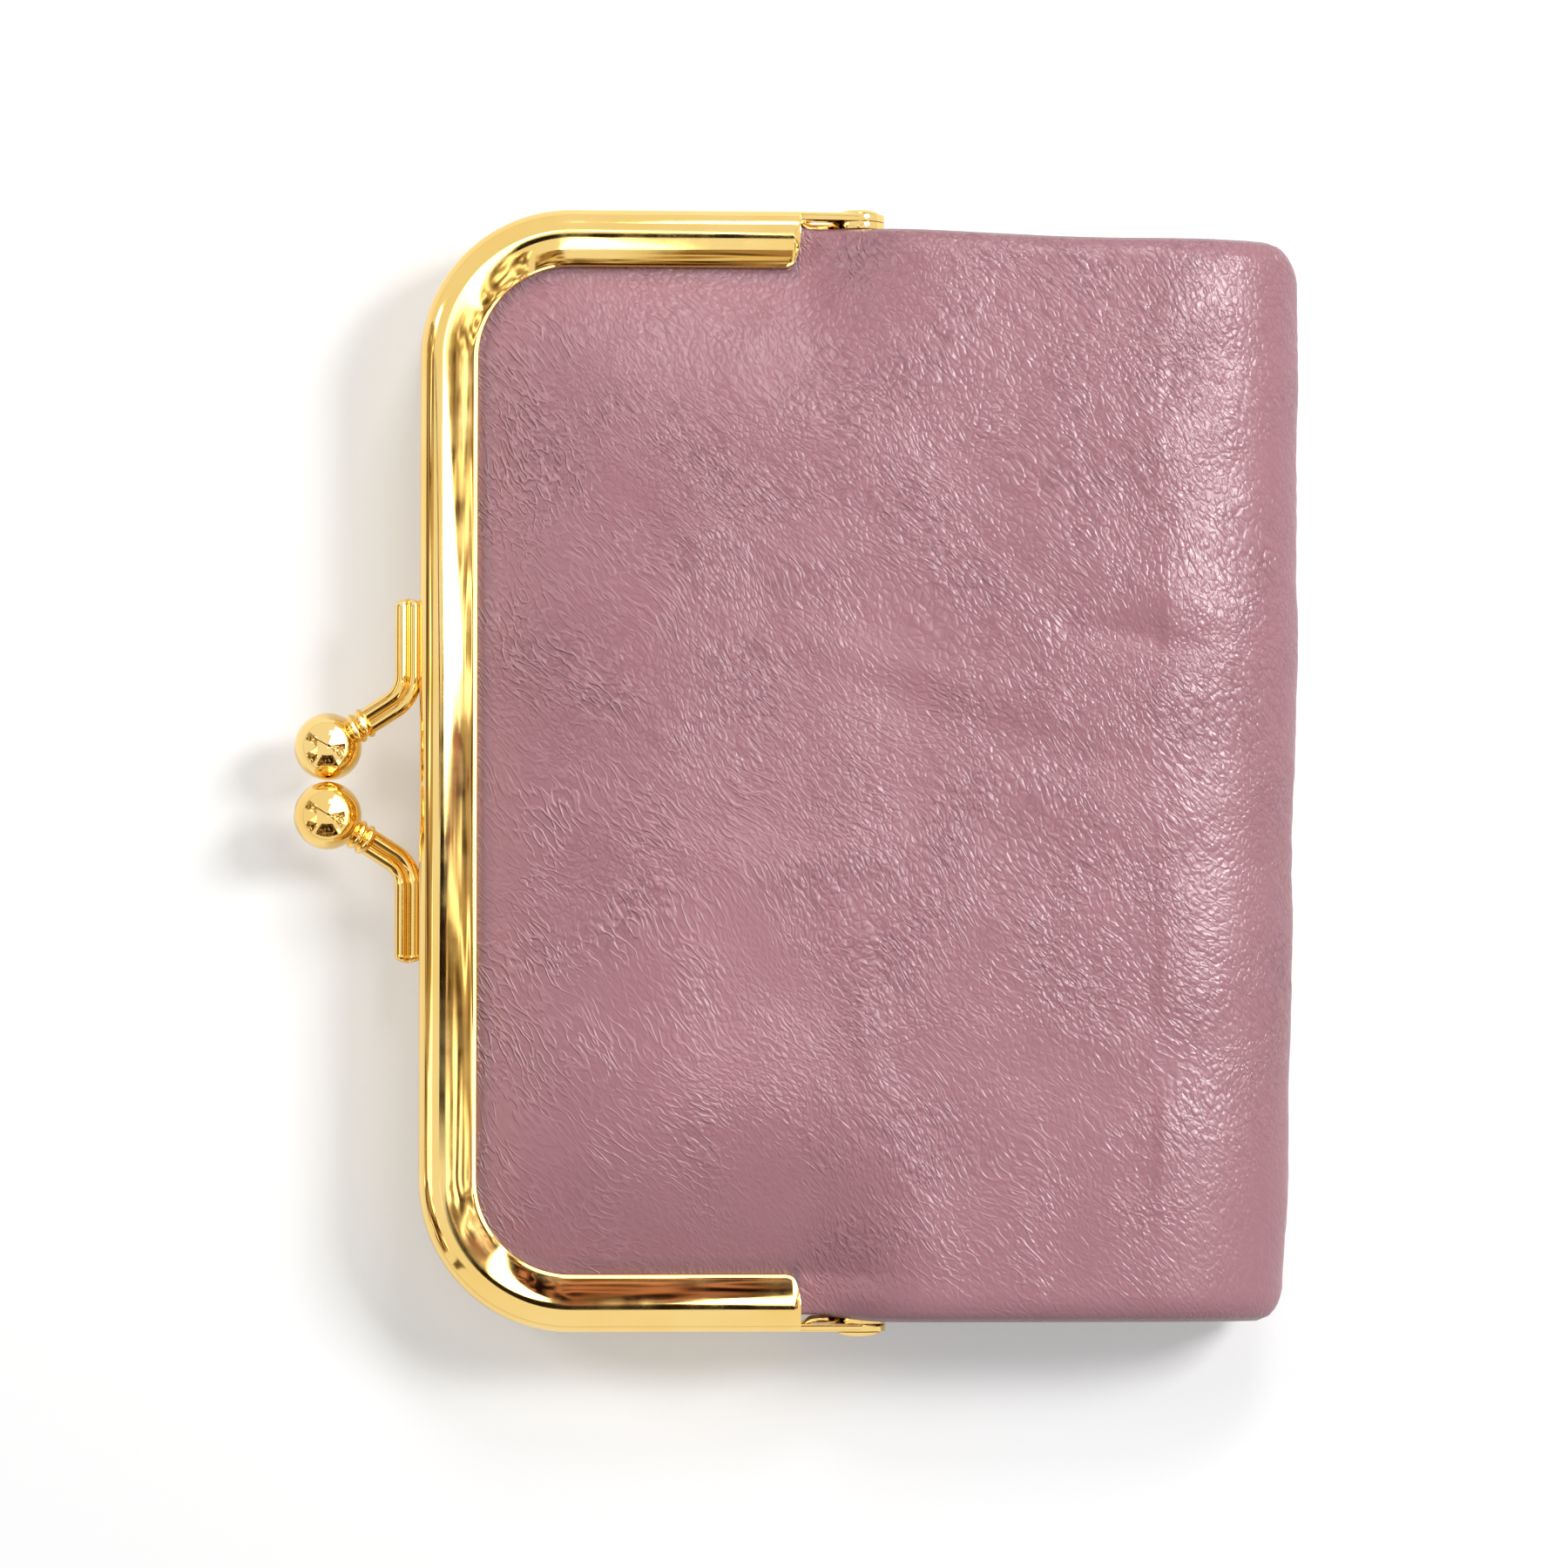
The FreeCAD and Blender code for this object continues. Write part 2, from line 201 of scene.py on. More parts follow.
def addNode(tree, kind, settings, values):
    node = tree.nodes.new(kind)
    for key, value in settings.items():
        setattr(node, key, value)
    feed(tree, node, values)
    return node


def mathNode(tree, operation, *values, clamp=False):
    settings = {"operation": operation, "use_clamp": clamp}
    return addNode(tree, "ShaderNodeMath", settings, dict(enumerate(values))).outputs[0]


def vectorNode(tree, operation, first, second):
    return addNode(tree, "ShaderNodeVectorMath", {"operation": operation}, {0: first, 1: second}).outputs[0]


def rangeNode(tree, value, fromLow, fromHigh, toLow, toHigh):
    values = dict(enumerate((value, fromLow, fromHigh, toLow, toHigh)))
    return addNode(tree, "ShaderNodeMapRange", {"interpolation_type": "SMOOTHSTEP"}, values).outputs[0]


def mixColour(tree, factor, first, second):
    values = {0: factor}
    for slot, tone in ((6, first), (7, second)):
        values[slot] = (*tone, 1.0) if isinstance(tone, tuple) else tone
    return addNode(tree, "ShaderNodeMix", {"data_type": "RGBA"}, values).outputs[2]


def bumpNode(tree, strength, depth, values):
    values = {"Strength": strength, "Distance": depth * mm, **values}
    return addNode(tree, "ShaderNodeBump", {}, values).outputs[0]


def newGroup(name, kind, inputs, outputs):
    group = bpy.data.node_groups.new(name, kind)
    for label, socket, value in inputs:
        item = group.interface.new_socket(label, in_out="INPUT", socket_type="NodeSocket" + socket)
        if value is not None:
            item.default_value = value
    for label, socket in outputs:
        group.interface.new_socket(label, in_out="OUTPUT", socket_type="NodeSocket" + socket)
    return group, group.nodes.new("NodeGroupInput").outputs, group.nodes.new("NodeGroupOutput")


def placeGroup(tree, group, values):
    return addNode(tree, "ShaderNodeGroup", {"node_tree": group}, values).outputs


def newMaterial(name):
    material = bpy.data.materials.new(name)
    material.use_nodes = True
    tree = material.node_tree
    return material, tree, tree.nodes["Principled BSDF"]


def bareMaterial(name):
    # a material with an output and nothing else
    material = bpy.data.materials.new(name)
    material.use_nodes = True
    tree = material.node_tree
    tree.nodes.clear()
    return material, tree, tree.nodes.new("ShaderNodeOutputMaterial")


def objectMm(tree):
    coords = tree.nodes.new("ShaderNodeTexCoord")
    return vectorNode(tree, "MULTIPLY", coords.outputs["Object"], (1000, 1000, 1000))


def attributeNode(tree, name):
    return addNode(tree, "ShaderNodeAttribute", {"attribute_name": name}, {}).outputs["Fac"]


# shared surface effects
def makeHideGrain():
    # stretched pebbles of a grained hide, bent by a slow drift
    group, given, outside = newGroup(
        "hideGrain", "ShaderNodeTree",
        [("Place", "Vector", None), ("Pebble", "Float", 0.5),
         ("Stretch", "Float", 2.4), ("Angle", "Float", 0.7),
         ("Bend", "Float", 2.0)],
        [("Height", "Float"), ("Furrow", "Float"), ("Ridge", "Float")])
    drift = addNode(group, "ShaderNodeTexNoise", {},
                    {"Vector": given["Place"], "Scale": 0.05, "Detail": 2.0, "Roughness": 0.5})
    swing = vectorNode(group, "SUBTRACT", drift.outputs["Color"], (0.5, 0.5, 0.5))
    reach = addNode(group, "ShaderNodeVectorMath", {"operation": "SCALE"}, {0: swing, "Scale": given["Bend"]})
    bent = vectorNode(group, "ADD", given["Place"], reach.outputs[0])
    turned = addNode(group, "ShaderNodeVectorRotate", {"rotation_type": "Z_AXIS"},
                     {"Vector": bent, "Angle": given["Angle"]})
    shrink = mathNode(group, "DIVIDE", 1.0, given["Stretch"])
    stretch = addNode(group, "ShaderNodeCombineXYZ", {}, {0: shrink, 1: 1.0, 2: 1.0})
    along = vectorNode(group, "MULTIPLY", turned.outputs[0], stretch.outputs[0])
    scale = mathNode(group, "DIVIDE", 1.0, given["Pebble"])
    cells = addNode(group, "ShaderNodeTexVoronoi", {"feature": "DISTANCE_TO_EDGE"},
                    {"Vector": along, "Scale": scale, "Randomness": 0.95}).outputs["Distance"]
    fine = addNode(group, "ShaderNodeTexNoise", {},
                   {"Vector": along, "Scale": scale, "Detail": 1.0, "Roughness": 0.5}).outputs[0]
    dome = mathNode(group, "MULTIPLY", rangeNode(group, cells, 0.0, 0.30, 0.0, 1.0), 0.75)
    # thin raised lines where the drift of the fine noise turns over
    turnOver = mathNode(group, "ABSOLUTE", mathNode(group, "SUBTRACT", fine, 0.5))
    feed(group, outside, {
        "Height": mathNode(group, "MULTIPLY_ADD", fine, 0.35, dome),
        "Furrow": rangeNode(group, cells, 0.0, 0.14, 1.0, 0.0),
        "Ridge": rangeNode(group, turnOver, 0.0, 0.09, 1.0, 0.0)})
    return group


def makeSoftCloud():
    # slow cloudy variation, for tone and polish
    group, given, outside = newGroup(
        "softCloud", "ShaderNodeTree",
        [("Place", "Vector", None), ("Size", "Float", 20.0),
         ("Low", "Float", 0.0), ("High", "Float", 1.0)],
        [("Value", "Float")])
    scale = mathNode(group, "DIVIDE", 1.0, given["Size"])
    cloud = addNode(group, "ShaderNodeTexNoise", {},
                    {"Vector": given["Place"], "Scale": scale, "Detail": 3.0, "Roughness": 0.5})
    feed(group, outside, {"Value": rangeNode(group, cloud.outputs[0], 0.3, 0.7, given["Low"], given["High"])})
    return group


hideGrain = makeHideGrain()
softCloud = makeSoftCloud()


def cloudNode(tree, place, size, low, high):
    return placeGroup(tree, softCloud, {"Place": place, "Size": size, "Low": low, "High": high})[0]


# finishes
hideLook = {
    # the dark tone on the next line is painted shade in the grain's furrows and cracks, and the lining's
    # random darker tone
    "tone": (0.392, 0.164, 0.195), "deepTone": (0.270, 0.100, 0.124), "lightTone": (0.470, 0.222, 0.256),
    # the first tone here is a painted highlight for the raised lines, the second painted shade for the strip
    # along the flange's inner edge
    "ridgeGlintTone": (0.540, 0.275, 0.315), "flangeShadeTone": (0.16, 0.095, 0.135),
    "pebbles": {"Pebble": 0.58, "Stretch": 1.6, "Angle": 1.0, "Bend": 8.0},
    "creases": {"Pebble": 0.78, "Stretch": 3.3, "Angle": 0.86, "Bend": 8.0},
    "cracks": {"Pebble": 1.3, "Stretch": 1.5, "Angle": -0.5, "Bend": 9.0},
    "roughness": (0.29, 0.36), "rubbedX": (0.0, 26.0), "rubbed": (0.06, 0.0),
    # where the raised lines get their painted highlight and their bump, both strongest at the mouth
    "ridgeFadeX": (-34.0, 2.0), "ridgeGlint": (0.85, 0.22), "raised": (1.7, 0.6),
    "pebbleDepth": 0.042, "creaseDepth": 0.070, "specular": 0.8,
    "toneCloud": 22.0, "patchCloud": 8.0, "leastPatch": 0.10, "polishCloud": 3.0,
    "lightShare": 0.22, "furrowShadeShare": 0.45, "flangeShadeShare": 0.7, "lineShare": 0.6, "crackShare": 0.7,
}
goldLook = {
    "tone": (0.90, 0.61, 0.19), "paleTone": (0.95, 0.71, 0.30), "paleShare": 0.6, "toneCloud": 12.0,
    "roughness": (0.04, 0.10), "polishCloud": 4.0,
}
clothLook = {
    "tone": (0.30, 0.165, 0.170), "deepShare": 0.35, "toneCloud": 14.0, "weave": 0.32, "threadShare": 0.25,
    "threadDepth": 0.05, "roughness": 0.75, "sheen": 0.2,
}
cardLook = {"relief": 0.6, "fleckDepth": 0.03, "roughness": 0.85}


def makeHide():
    material, tree, shader = newMaterial("mauveHide")
    look = hideLook
    place = objectMm(tree)
    alongX = addNode(tree, "ShaderNodeSeparateXYZ", {}, {0: place}).outputs[0]
    creasing = attributeNode(tree, "creasing")
    # painted shade along the flange's inner edge
    tuck = attributeNode(tree, "tuck")
    pebbles, creases, cracks = [placeGroup(tree, hideGrain, {"Place": place, **look[kind]})
                                for kind in ("pebbles", "creases", "cracks")]
    tone = cloudNode(tree, place, look["toneCloud"], 0.0, 1.0)
    patch = cloudNode(tree, place, look["patchCloud"], look["leastPatch"], 1.0)
    strong = mathNode(tree, "MULTIPLY", creasing, patch)
    # painted shade in the grain's furrows and in the cracks
    furrowShade = mathNode(tree, "MULTIPLY", pebbles["Furrow"], rangeNode(tree, creasing, 0.35, 1.1, 0.0, 1.0))
    split = mathNode(tree, "MULTIPLY", cracks["Furrow"], rangeNode(tree, strong, 0.35, 1.0, 0.0, 0.7))
    # raised lines, with a painted highlight that is stronger towards the mouth
    share = mathNode(tree, "MULTIPLY", patch, rangeNode(tree, creasing, 0.25, 0.6, 0.55, 1.0))
    thin = mathNode(tree, "MULTIPLY", creases["Ridge"], mathNode(tree, "MULTIPLY_ADD", share, 0.9, 0.08))
    # painted highlight on the raised lines, fading away from the mouth
    ridgeGlint = mathNode(tree, "MULTIPLY", thin, rangeNode(tree, alongX, *look["ridgeFadeX"], *look["ridgeGlint"]))
    colour = look["tone"]
    # mixed in turn: paler random tone, painted shade in the furrows and cracks, a painted highlight on the
    # raised lines, painted shade along the flange
    for factor, layer in (
            (mathNode(tree, "MULTIPLY", tone, look["lightShare"]), "lightTone"),
            (mathNode(tree, "MULTIPLY", furrowShade, look["furrowShadeShare"]), "deepTone"),
            (split, "deepTone"), (ridgeGlint, "ridgeGlintTone"),
            (mathNode(tree, "MULTIPLY", tuck, look["flangeShadeShare"]), "flangeShadeTone")):
        colour = mixColour(tree, factor, colour, look[layer])
    polish = cloudNode(tree, place, look["polishCloud"], *look["roughness"])
    # rubbed smoother towards the fold
    rubbed = rangeNode(tree, alongX, *look["rubbedX"], *look["rubbed"])
    grain = mathNode(tree, "MULTIPLY", pebbles["Height"], rangeNode(tree, creasing, 0.2, 1.0, 0.5, 1.0))
    lines = mathNode(tree, "MULTIPLY", creases["Height"], look["lineShare"])
    wide = mathNode(tree, "MULTIPLY", cracks["Height"], look["crackShare"])
    relief = mathNode(tree, "MULTIPLY", mathNode(tree, "ADD", lines, wide),
                      rangeNode(tree, strong, 0.0, 1.0, 0.2, 1.0))
    raised = rangeNode(tree, alongX, *look["ridgeFadeX"], *look["raised"])
    both = mathNode(tree, "MULTIPLY_ADD", thin, raised, relief)
    first = bumpNode(tree, 1.0, look["pebbleDepth"], {"Height": grain})
    feed(tree, shader, {
        "Base Color": colour, "Roughness": mathNode(tree, "ADD", polish, rubbed),
        "Normal": bumpNode(tree, 1.0, look["creaseDepth"], {"Height": both, "Normal": first}),
        "Specular IOR Level": look["specular"]})
    return material


def makeGold():
    material, tree, shader = newMaterial("goldPlate")
    look = goldLook
    place = objectMm(tree)
    tone = cloudNode(tree, place, look["toneCloud"], 0.0, look["paleShare"])
    feed(tree, shader, {
        "Base Color": mixColour(tree, tone, look["tone"], look["paleTone"]),
        "Roughness": cloudNode(tree, place, look["polishCloud"], *look["roughness"]), "Metallic": 1.0})
    return material


def makeCloth():
    # plain woven lining
    material, tree, shader = newMaterial("liningCloth")
    look = clothLook
    place = objectMm(tree)
    scale = 1 / (look["weave"] * 6.28) * 2
    threads = []
    for axis in ("X", "Y"):
        wave = addNode(tree, "ShaderNodeTexWave", {"bands_direction": axis},
                       {"Vector": place, "Scale": scale, "Distortion": 0.6, "Detail": 1.0})
        threads.append(wave.outputs["Fac"])
    weave = mathNode(tree, "MAXIMUM", *threads)
    tone = cloudNode(tree, place, look["toneCloud"], 0.0, look["deepShare"])
    colour = mixColour(tree, tone, look["tone"], hideLook["deepTone"])
    thread = mathNode(tree, "MULTIPLY", weave, look["threadShare"])
    feed(tree, shader, {
        "Base Color": mixColour(tree, thread, colour, hideLook["tone"]),
        "Normal": bumpNode(tree, 1.0, look["threadDepth"], {"Height": weave}),
        "Roughness": look["roughness"], "Sheen Weight": look["sheen"]})
    return material


def makeCard(name, dark, pale, fleck):
    # pressed board or twisted paper
    material, tree, shader = newMaterial(name)
    tone = cloudNode(tree, objectMm(tree), fleck, 0.0, 1.0)
    feed(tree, shader, {
        "Base Color": mixColour(tree, tone, dark, pale),
        "Normal": bumpNode(tree, cardLook["relief"], cardLook["fleckDepth"], {"Height": tone}),
        "Roughness": cardLook["roughness"]})
    return material


hide = makeHide()
gold = makeGold()
cloth = makeCloth()
board = makeCard("greyBoard", (0.30, 0.27, 0.23), (0.42, 0.38, 0.33), 1.2)
paper = makeCard("twistedPaper", (0.50, 0.42, 0.30), (0.66, 0.57, 0.43), 0.6)
print("finishes made")


def finishMesh(tree, geometry, material, outside):
    real = addNode(tree, "GeometryNodeRealizeInstances", {}, {0: geometry})
    finish = addNode(tree, "GeometryNodeSetMaterial", {}, {"Geometry": real.outputs[0], "Material": material})
    feed(tree, outside, {"Mesh": finish.outputs[0]})


# sweeps a section along a line with rounded corners
def makeSweep():
    tree, given, outside = newGroup(
        "sweepAlongLine", "GeometryNodeTree",
        [("Line", "Geometry", None), ("Section", "Object", None),
         ("Corner radius", "Float", 0.01), ("Corner steps", "Int", 40),
         ("Step", "Float", 0.001), ("Twist", "Float", 0.0),
         ("Round start", "Float", 0.0), ("Ripple", "Float", 0.0),
         ("Ripple size", "Float", 0.01), ("Finish", "Material", None)],
        [("Mesh", "Geometry")])
    line = addNode(tree, "GeometryNodeMeshToCurve", {}, {"Mesh": given["Line"]})
    corners = addNode(tree, "GeometryNodeFilletCurve", {"mode": "POLY"}, {
        "Curve": line.outputs[0], "Count": given["Corner steps"], "Radius": given["Corner radius"],
        "Limit Radius": True})
    even = addNode(tree, "GeometryNodeResampleCurve", {"mode": "LENGTH"},
                   {"Curve": corners.outputs[0], "Length": given["Step"]})
    upright = addNode(tree, "GeometryNodeSetCurveNormal", {"mode": "Z_UP"}, {"Curve": even.outputs[0]})
    along = tree.nodes.new("GeometryNodeSplineParameter").outputs["Length"]
    tilt = mathNode(tree, "MULTIPLY", along, given["Twist"])
    twist = addNode(tree, "GeometryNodeSetCurveTilt", {}, {"Curve": upright.outputs[0], "Tilt": tilt})
    # the start closes like a rounded wire end
    share = mathNode(tree, "DIVIDE", along, mathNode(tree, "MAXIMUM", given["Round start"], 1e-7), clamp=True)
    back = mathNode(tree, "SUBTRACT", 1.0, share)
    radius = mathNode(tree, "SQRT", mathNode(tree, "SUBTRACT", 1.0, mathNode(tree, "MULTIPLY", back, back)))
    full = mathNode(tree, "LESS_THAN", given["Round start"], 1e-6)
    section = addNode(tree, "GeometryNodeObjectInfo", {}, {"Object": given["Section"]})
    ring = addNode(tree, "GeometryNodeMeshToCurve", {}, {"Mesh": section.outputs["Geometry"]})
    sweep = addNode(tree, "GeometryNodeCurveToMesh", {}, {
        "Curve": twist.outputs[0], "Profile Curve": ring.outputs[0],
        "Scale": mathNode(tree, "MAXIMUM", radius, full), "Fill Caps": True})
    # slight waviness of pressed sheet
    place = tree.nodes.new("GeometryNodeInputPosition")
    wave = addNode(tree, "ShaderNodeTexNoise", {}, {
        "Vector": place.outputs[0], "Scale": mathNode(tree, "DIVIDE", 1.0, given["Ripple size"]),
        "Detail": 1.0, "Roughness": 0.4})
    height = mathNode(tree, "MULTIPLY", mathNode(tree, "SUBTRACT", wave.outputs[0], 0.5), given["Ripple"])
    lift = addNode(tree, "ShaderNodeCombineXYZ", {}, {"Z": height})
    moved = addNode(tree, "GeometryNodeSetPosition", {},
                    {"Geometry": sweep.outputs[0], "Offset": lift.outputs[0]})
    finishMesh(tree, moved.outputs[0], given["Finish"], outside)
    return tree


# sets a turned part on each point of a line, facing outwards along Y
def makeSetOnPoints():
    tree, given, outside = newGroup(
        "setOnPoints", "GeometryNodeTree",
        [("Points", "Geometry", None), ("Part", "Object", None),
         ("Finish", "Material", None)],
        [("Mesh", "Geometry")])
    part = addNode(tree, "GeometryNodeObjectInfo", {}, {"Object": given["Part"]})
    place = tree.nodes.new("GeometryNodeInputPosition")
    axes = addNode(tree, "ShaderNodeSeparateXYZ", {}, {0: place.outputs[0]})
    outward = addNode(tree, "ShaderNodeCombineXYZ", {}, {"Y": mathNode(tree, "SIGN", axes.outputs["Y"])})
    aim = addNode(tree, "FunctionNodeAlignRotationToVector", {"axis": "Z"}, {"Vector": outward.outputs[0]})
    put = addNode(tree, "GeometryNodeInstanceOnPoints", {}, {
        "Points": given["Points"], "Instance": part.outputs["Geometry"], "Rotation": aim.outputs[0]})
    finishMesh(tree, put.outputs[0], given["Finish"], outside)
    return tree


sweepTree = makeSweep()
setTree = makeSetOnPoints()


def growTree(obj, tree, values, sharpDegrees=40):
    # runs a tree on an object and keeps the result as its plain mesh
    modifier = obj.modifiers.new("grow", "NODES")
    modifier.node_group = tree
    for item in tree.interface.items_tree:
        if item.item_type == "SOCKET" and item.in_out == "INPUT" and item.name in values:
            modifier[item.identifier] = values[item.name]
    bpy.context.view_layer.update()
    mesh = keepResult(obj)
    mesh.name = obj.name
    tidyMesh(mesh, sharpDegrees)
    return obj


def drop(*objs):
    for obj in objs:
        bpy.data.objects.remove(obj)


# gold channels, one for each half
channel = {
    "sheet": 0.7, "flange": 5.6, "facet": 0.46, "facetDegrees": 34.0, "shoulder": 2.0, "drop": 1.0,
    "innerFlange": 4.4, "innerBend": 0.95, "low": 0.1, "corner": 14.6, "setBack": 1.2, "setBackRun": 5.0,
    "edge": 0.16, "soften": 0.06, "step": 0.7, "ripple": 0.05, "rippleSize": 16.0,
}


def channelSection():
    c = channel
    top = topZ - midZ
    reach = c["flange"] - c["shoulder"]
    bow = (reach ** 2 + c["drop"] ** 2) / (2 * c["drop"])
    facetAt = c["flange"] - c["facet"]
    endTurn = math.degrees(math.asin((facetAt - c["shoulder"]) / bow))
    underTurn = math.degrees(math.asin(reach / (bow - c["sheet"])))
    run = [(c["innerFlange"], c["low"])]
    run += arcRun(c["innerBend"], c["low"] + c["innerBend"], c["innerBend"], -90, -180, 8)
    run += arcRun(c["shoulder"], top - c["shoulder"], c["shoulder"], 180, 90, 18)
    run += arcRun(c["shoulder"], top - bow, bow, 90, 90 - endTurn, 16)[1:]
    slope = math.radians(c["facetDegrees"])
    edge = np.array([c["flange"], run[-1][1] - c["facet"] * math.tan(slope)])
    under = arcRun(c["shoulder"], top - bow, bow - c["sheet"], 90 - underTurn, 90, 10)
    low = np.array(under[0])
    back = np.array(under[1]) - low
    down = np.array([0.0, c["edge"]])
    along = np.array([math.cos(slope), -math.sin(slope)]) * c["edge"]
    run += softCorner(edge - along, edge, edge - down, 5)
    run += softCorner(low + down, low, low + back / np.linalg.norm(back) * c["edge"], 4)
    run += under[1:]
    run += arcRun(c["shoulder"], top - c["shoulder"], c["shoulder"] - c["sheet"], 90, 180, 8)[1:]
    run += arcRun(c["innerBend"], c["low"] + c["innerBend"], c["innerBend"] - c["sheet"], -180, -90, 5)
    run += [(c["innerFlange"], c["low"] + c["sheet"])]
    return [(inward, -up, 0.0) for inward, up in run]


def frameChannel(name):
    section = outlineObject("channelSection", channelSection(), True)
    obj = outlineObject(name, [(armX, -sideY, midZ), (spineX, -sideY, midZ), (spineX, sideY, midZ),
                               (armX, sideY, midZ)], False)
    growTree(obj, sweepTree, {
        "Section": section, "Corner radius": channel["corner"] * mm, "Corner steps": 64,
        "Step": channel["step"] * mm, "Ripple": channel["ripple"] * mm,
        "Ripple size": channel["rippleSize"] * mm, "Finish": gold})
    drop(section)
    # the flanges' inner corners stand back at the arm ends
    points = meshPoints(obj.data)
    inward = sideY - np.abs(points[:, 1])
    share = np.clip((inward - channel["shoulder"]) / (channel["flange"] - channel["shoulder"]), 0, 1)
    near = np.clip((points[:, 0] - (armX - channel["setBackRun"])) / channel["setBackRun"], 0, 1)
    points[:, 0] -= channel["setBack"] * (1 - np.sqrt(1 - share ** 2 * 0.999)) * near
    movePoints(obj.data, points)
    return obj


def softenEdges(obj, width, segments=2):
    bevel = obj.modifiers.new("soften", "BEVEL")
    bevel.width = width * mm
    bevel.segments = segments
    bevel.limit_method = "ANGLE"
    bevel.angle_limit = math.radians(50)
    bevel.use_clamp_overlap = True
    shadeSmooth(keepResult(obj), 40)
    return obj


def turnMeshOver(obj, aboutY=0.0):
    # to the same place on the back half: half a turn about a line along X
    points = meshPoints(obj.data)
    points[:, 1:] = 2 * np.array([aboutY, midZ]) - points[:, 1:]
    movePoints(obj.data, points)
    obj.data.update()
    return obj


# hinge tabs: flat strips from the channel's wall to the rivet eyes
tab = {
    "rootHeight": 3.4, "rootFall": 0.15, "split": 0.3, "eye": 2.6, "hole": 1.0, "joggle": 1.4,
    "bendRoom": 0.2, "step": 0.75, "sheet": 0.7, "seat": 0.02, "soften": 0.16,
}


def hingeTab(name, step):
    # both tabs of a half, about the mid plane, with their split at the low side
    work = bmesh.new()
    t = tab
    rootX = armX - t["joggle"]
    rim = [(rootX, t["rootHeight"]), (armX, t["rootHeight"] - t["rootFall"])]
    rim += [(hingeX + t["eye"] * math.cos(a), t["eye"] * math.sin(a))
            for a in np.radians(np.linspace(90, -180, 40)) if a > -math.pi * 0.96]
    rim += [(hingeX - t["eye"] - t["split"], t["split"]), (rootX, t["split"])]
    bore = [(hingeX + t["hole"] * math.cos(a), t["hole"] * math.sin(a))
            for a in np.linspace(0, 2 * math.pi, 33)[:-1]]

    def isFlat(verts):
        return all(abs(v.co.y) < 1e-6 for v in verts)

    for side in (-1, 1):
        # the flat strip first, in x and z
        loops = []
        for run in (rim, bore):
            ring = [work.verts.new((x, 0, z)) for x, z in run]
            loops += [work.edges.new((ring[i], ring[(i + 1) % len(ring)])) for i in range(len(ring))]
        bmesh.ops.triangle_fill(work, use_beauty=True, use_dissolve=False, edges=loops)
        # cuts where it bends, then thickness and bend
        for x in np.linspace(armX - t["bendRoom"], armX + t["joggle"] + t["bendRoom"], 9):
            geom = [v for v in work.verts if isFlat([v])]
            geom += [g for g in list(work.edges) + list(work.faces) if isFlat(g.verts)]
            bmesh.ops.bisect_plane(work, geom=geom, dist=1e-6, plane_co=(x, 0, 0), plane_no=(1, 0, 0))
        flatFaces = [f for f in work.faces if isFlat(f.verts)]
        flatVerts = {v for f in flatFaces for v in f.verts}
        grown = bmesh.ops.extrude_face_region(work, geom=flatFaces)
        top = {g for g in grown["geom"] if isinstance(g, bmesh.types.BMVert)}
        for v in flatVerts | top:
            offset = step * float(smooth((v.co.x - armX) / t["joggle"]))
            depth = t["sheet"] if v in top else 0.0
            v.co.y = side * (sideY - t["seat"] - offset - depth)
            v.co.z += midZ
    bmesh.ops.recalc_face_normals(work, faces=work.faces)
    mesh = bpy.data.meshes.new(name)
    work.to_mesh(mesh)
    work.free()
    mesh.transform(Matrix.Scale(mm, 4))
    mesh.materials.append(gold)
    return softenEdges(addObject(name, mesh), t["soften"], 3)


def lathe(profile, origin, axis, segments):
    # turns (distance, radius) points about an axis
    axis = np.array(axis, float) / np.linalg.norm(axis)
    side = np.cross(axis, (0.0, 0.0, 1.0))
    if np.linalg.norm(side) < 1e-6:
        side = np.array([1.0, 0.0, 0.0])
    side /= np.linalg.norm(side)
    other = np.cross(axis, side)
    points, rings, faces = [], [], []
    for distance, radius in profile:
        centre = np.array(origin, float) + axis * distance
        if radius < 1e-6:
            rings.append([len(points)])
            points.append(centre)
            continue
        ring = []
        for k in range(segments):
            a = 2 * math.pi * k / segments
            ring.append(len(points))
            points.append(centre + radius * (math.cos(a) * side + math.sin(a) * other))
        rings.append(ring)
    for low, high in zip(rings, rings[1:]):
        for k in range(segments):
            n = (k + 1) % segments
            quad = [low[k % len(low)], low[n % len(low)], high[n % len(high)], high[k % len(high)]]
            quad = list(dict.fromkeys(quad))
            if len(quad) > 2:
                faces.append(quad)
    return points, faces


def turnedPiece(name, profile, origin, axis, material, sharpDegrees, segments):
    points, faces = lathe(profile, origin, axis, segments)
    obj = makePiece(name, points, faces, material, sharpDegrees)
    tidyMesh(obj.data, sharpDegrees)
    return obj


frontFrame = softenEdges(frameChannel("frontFrameChannel"), channel["soften"])
backFrame = turnMeshOver(softenEdges(frameChannel("backFrameChannel"), channel["soften"]))
frontTabs = hingeTab("frontHingeTabs", 0.0)
backTabs = turnMeshOver(hingeTab("backHingeTabs", tab["step"]))
for piece, body, node in (
        (frontFrame, "front_half", "front_frame"), (frontTabs, "front_half", "front_frame"),
        (backFrame, "back_half", "back_frame"), (backTabs, "back_half", "back_frame")):
    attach(piece, body)
    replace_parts(piece, node)

# hinge rivets: domed head outside, spread end inside
rivet = {
    "shank": 1.0, "head": 2.1, "headHeight": 0.6, "end": 1.7, "endHeight": 0.45, "grip": 1.45,
    "seat": 0.03, "rim": 0.06, "under": 0.12,
}


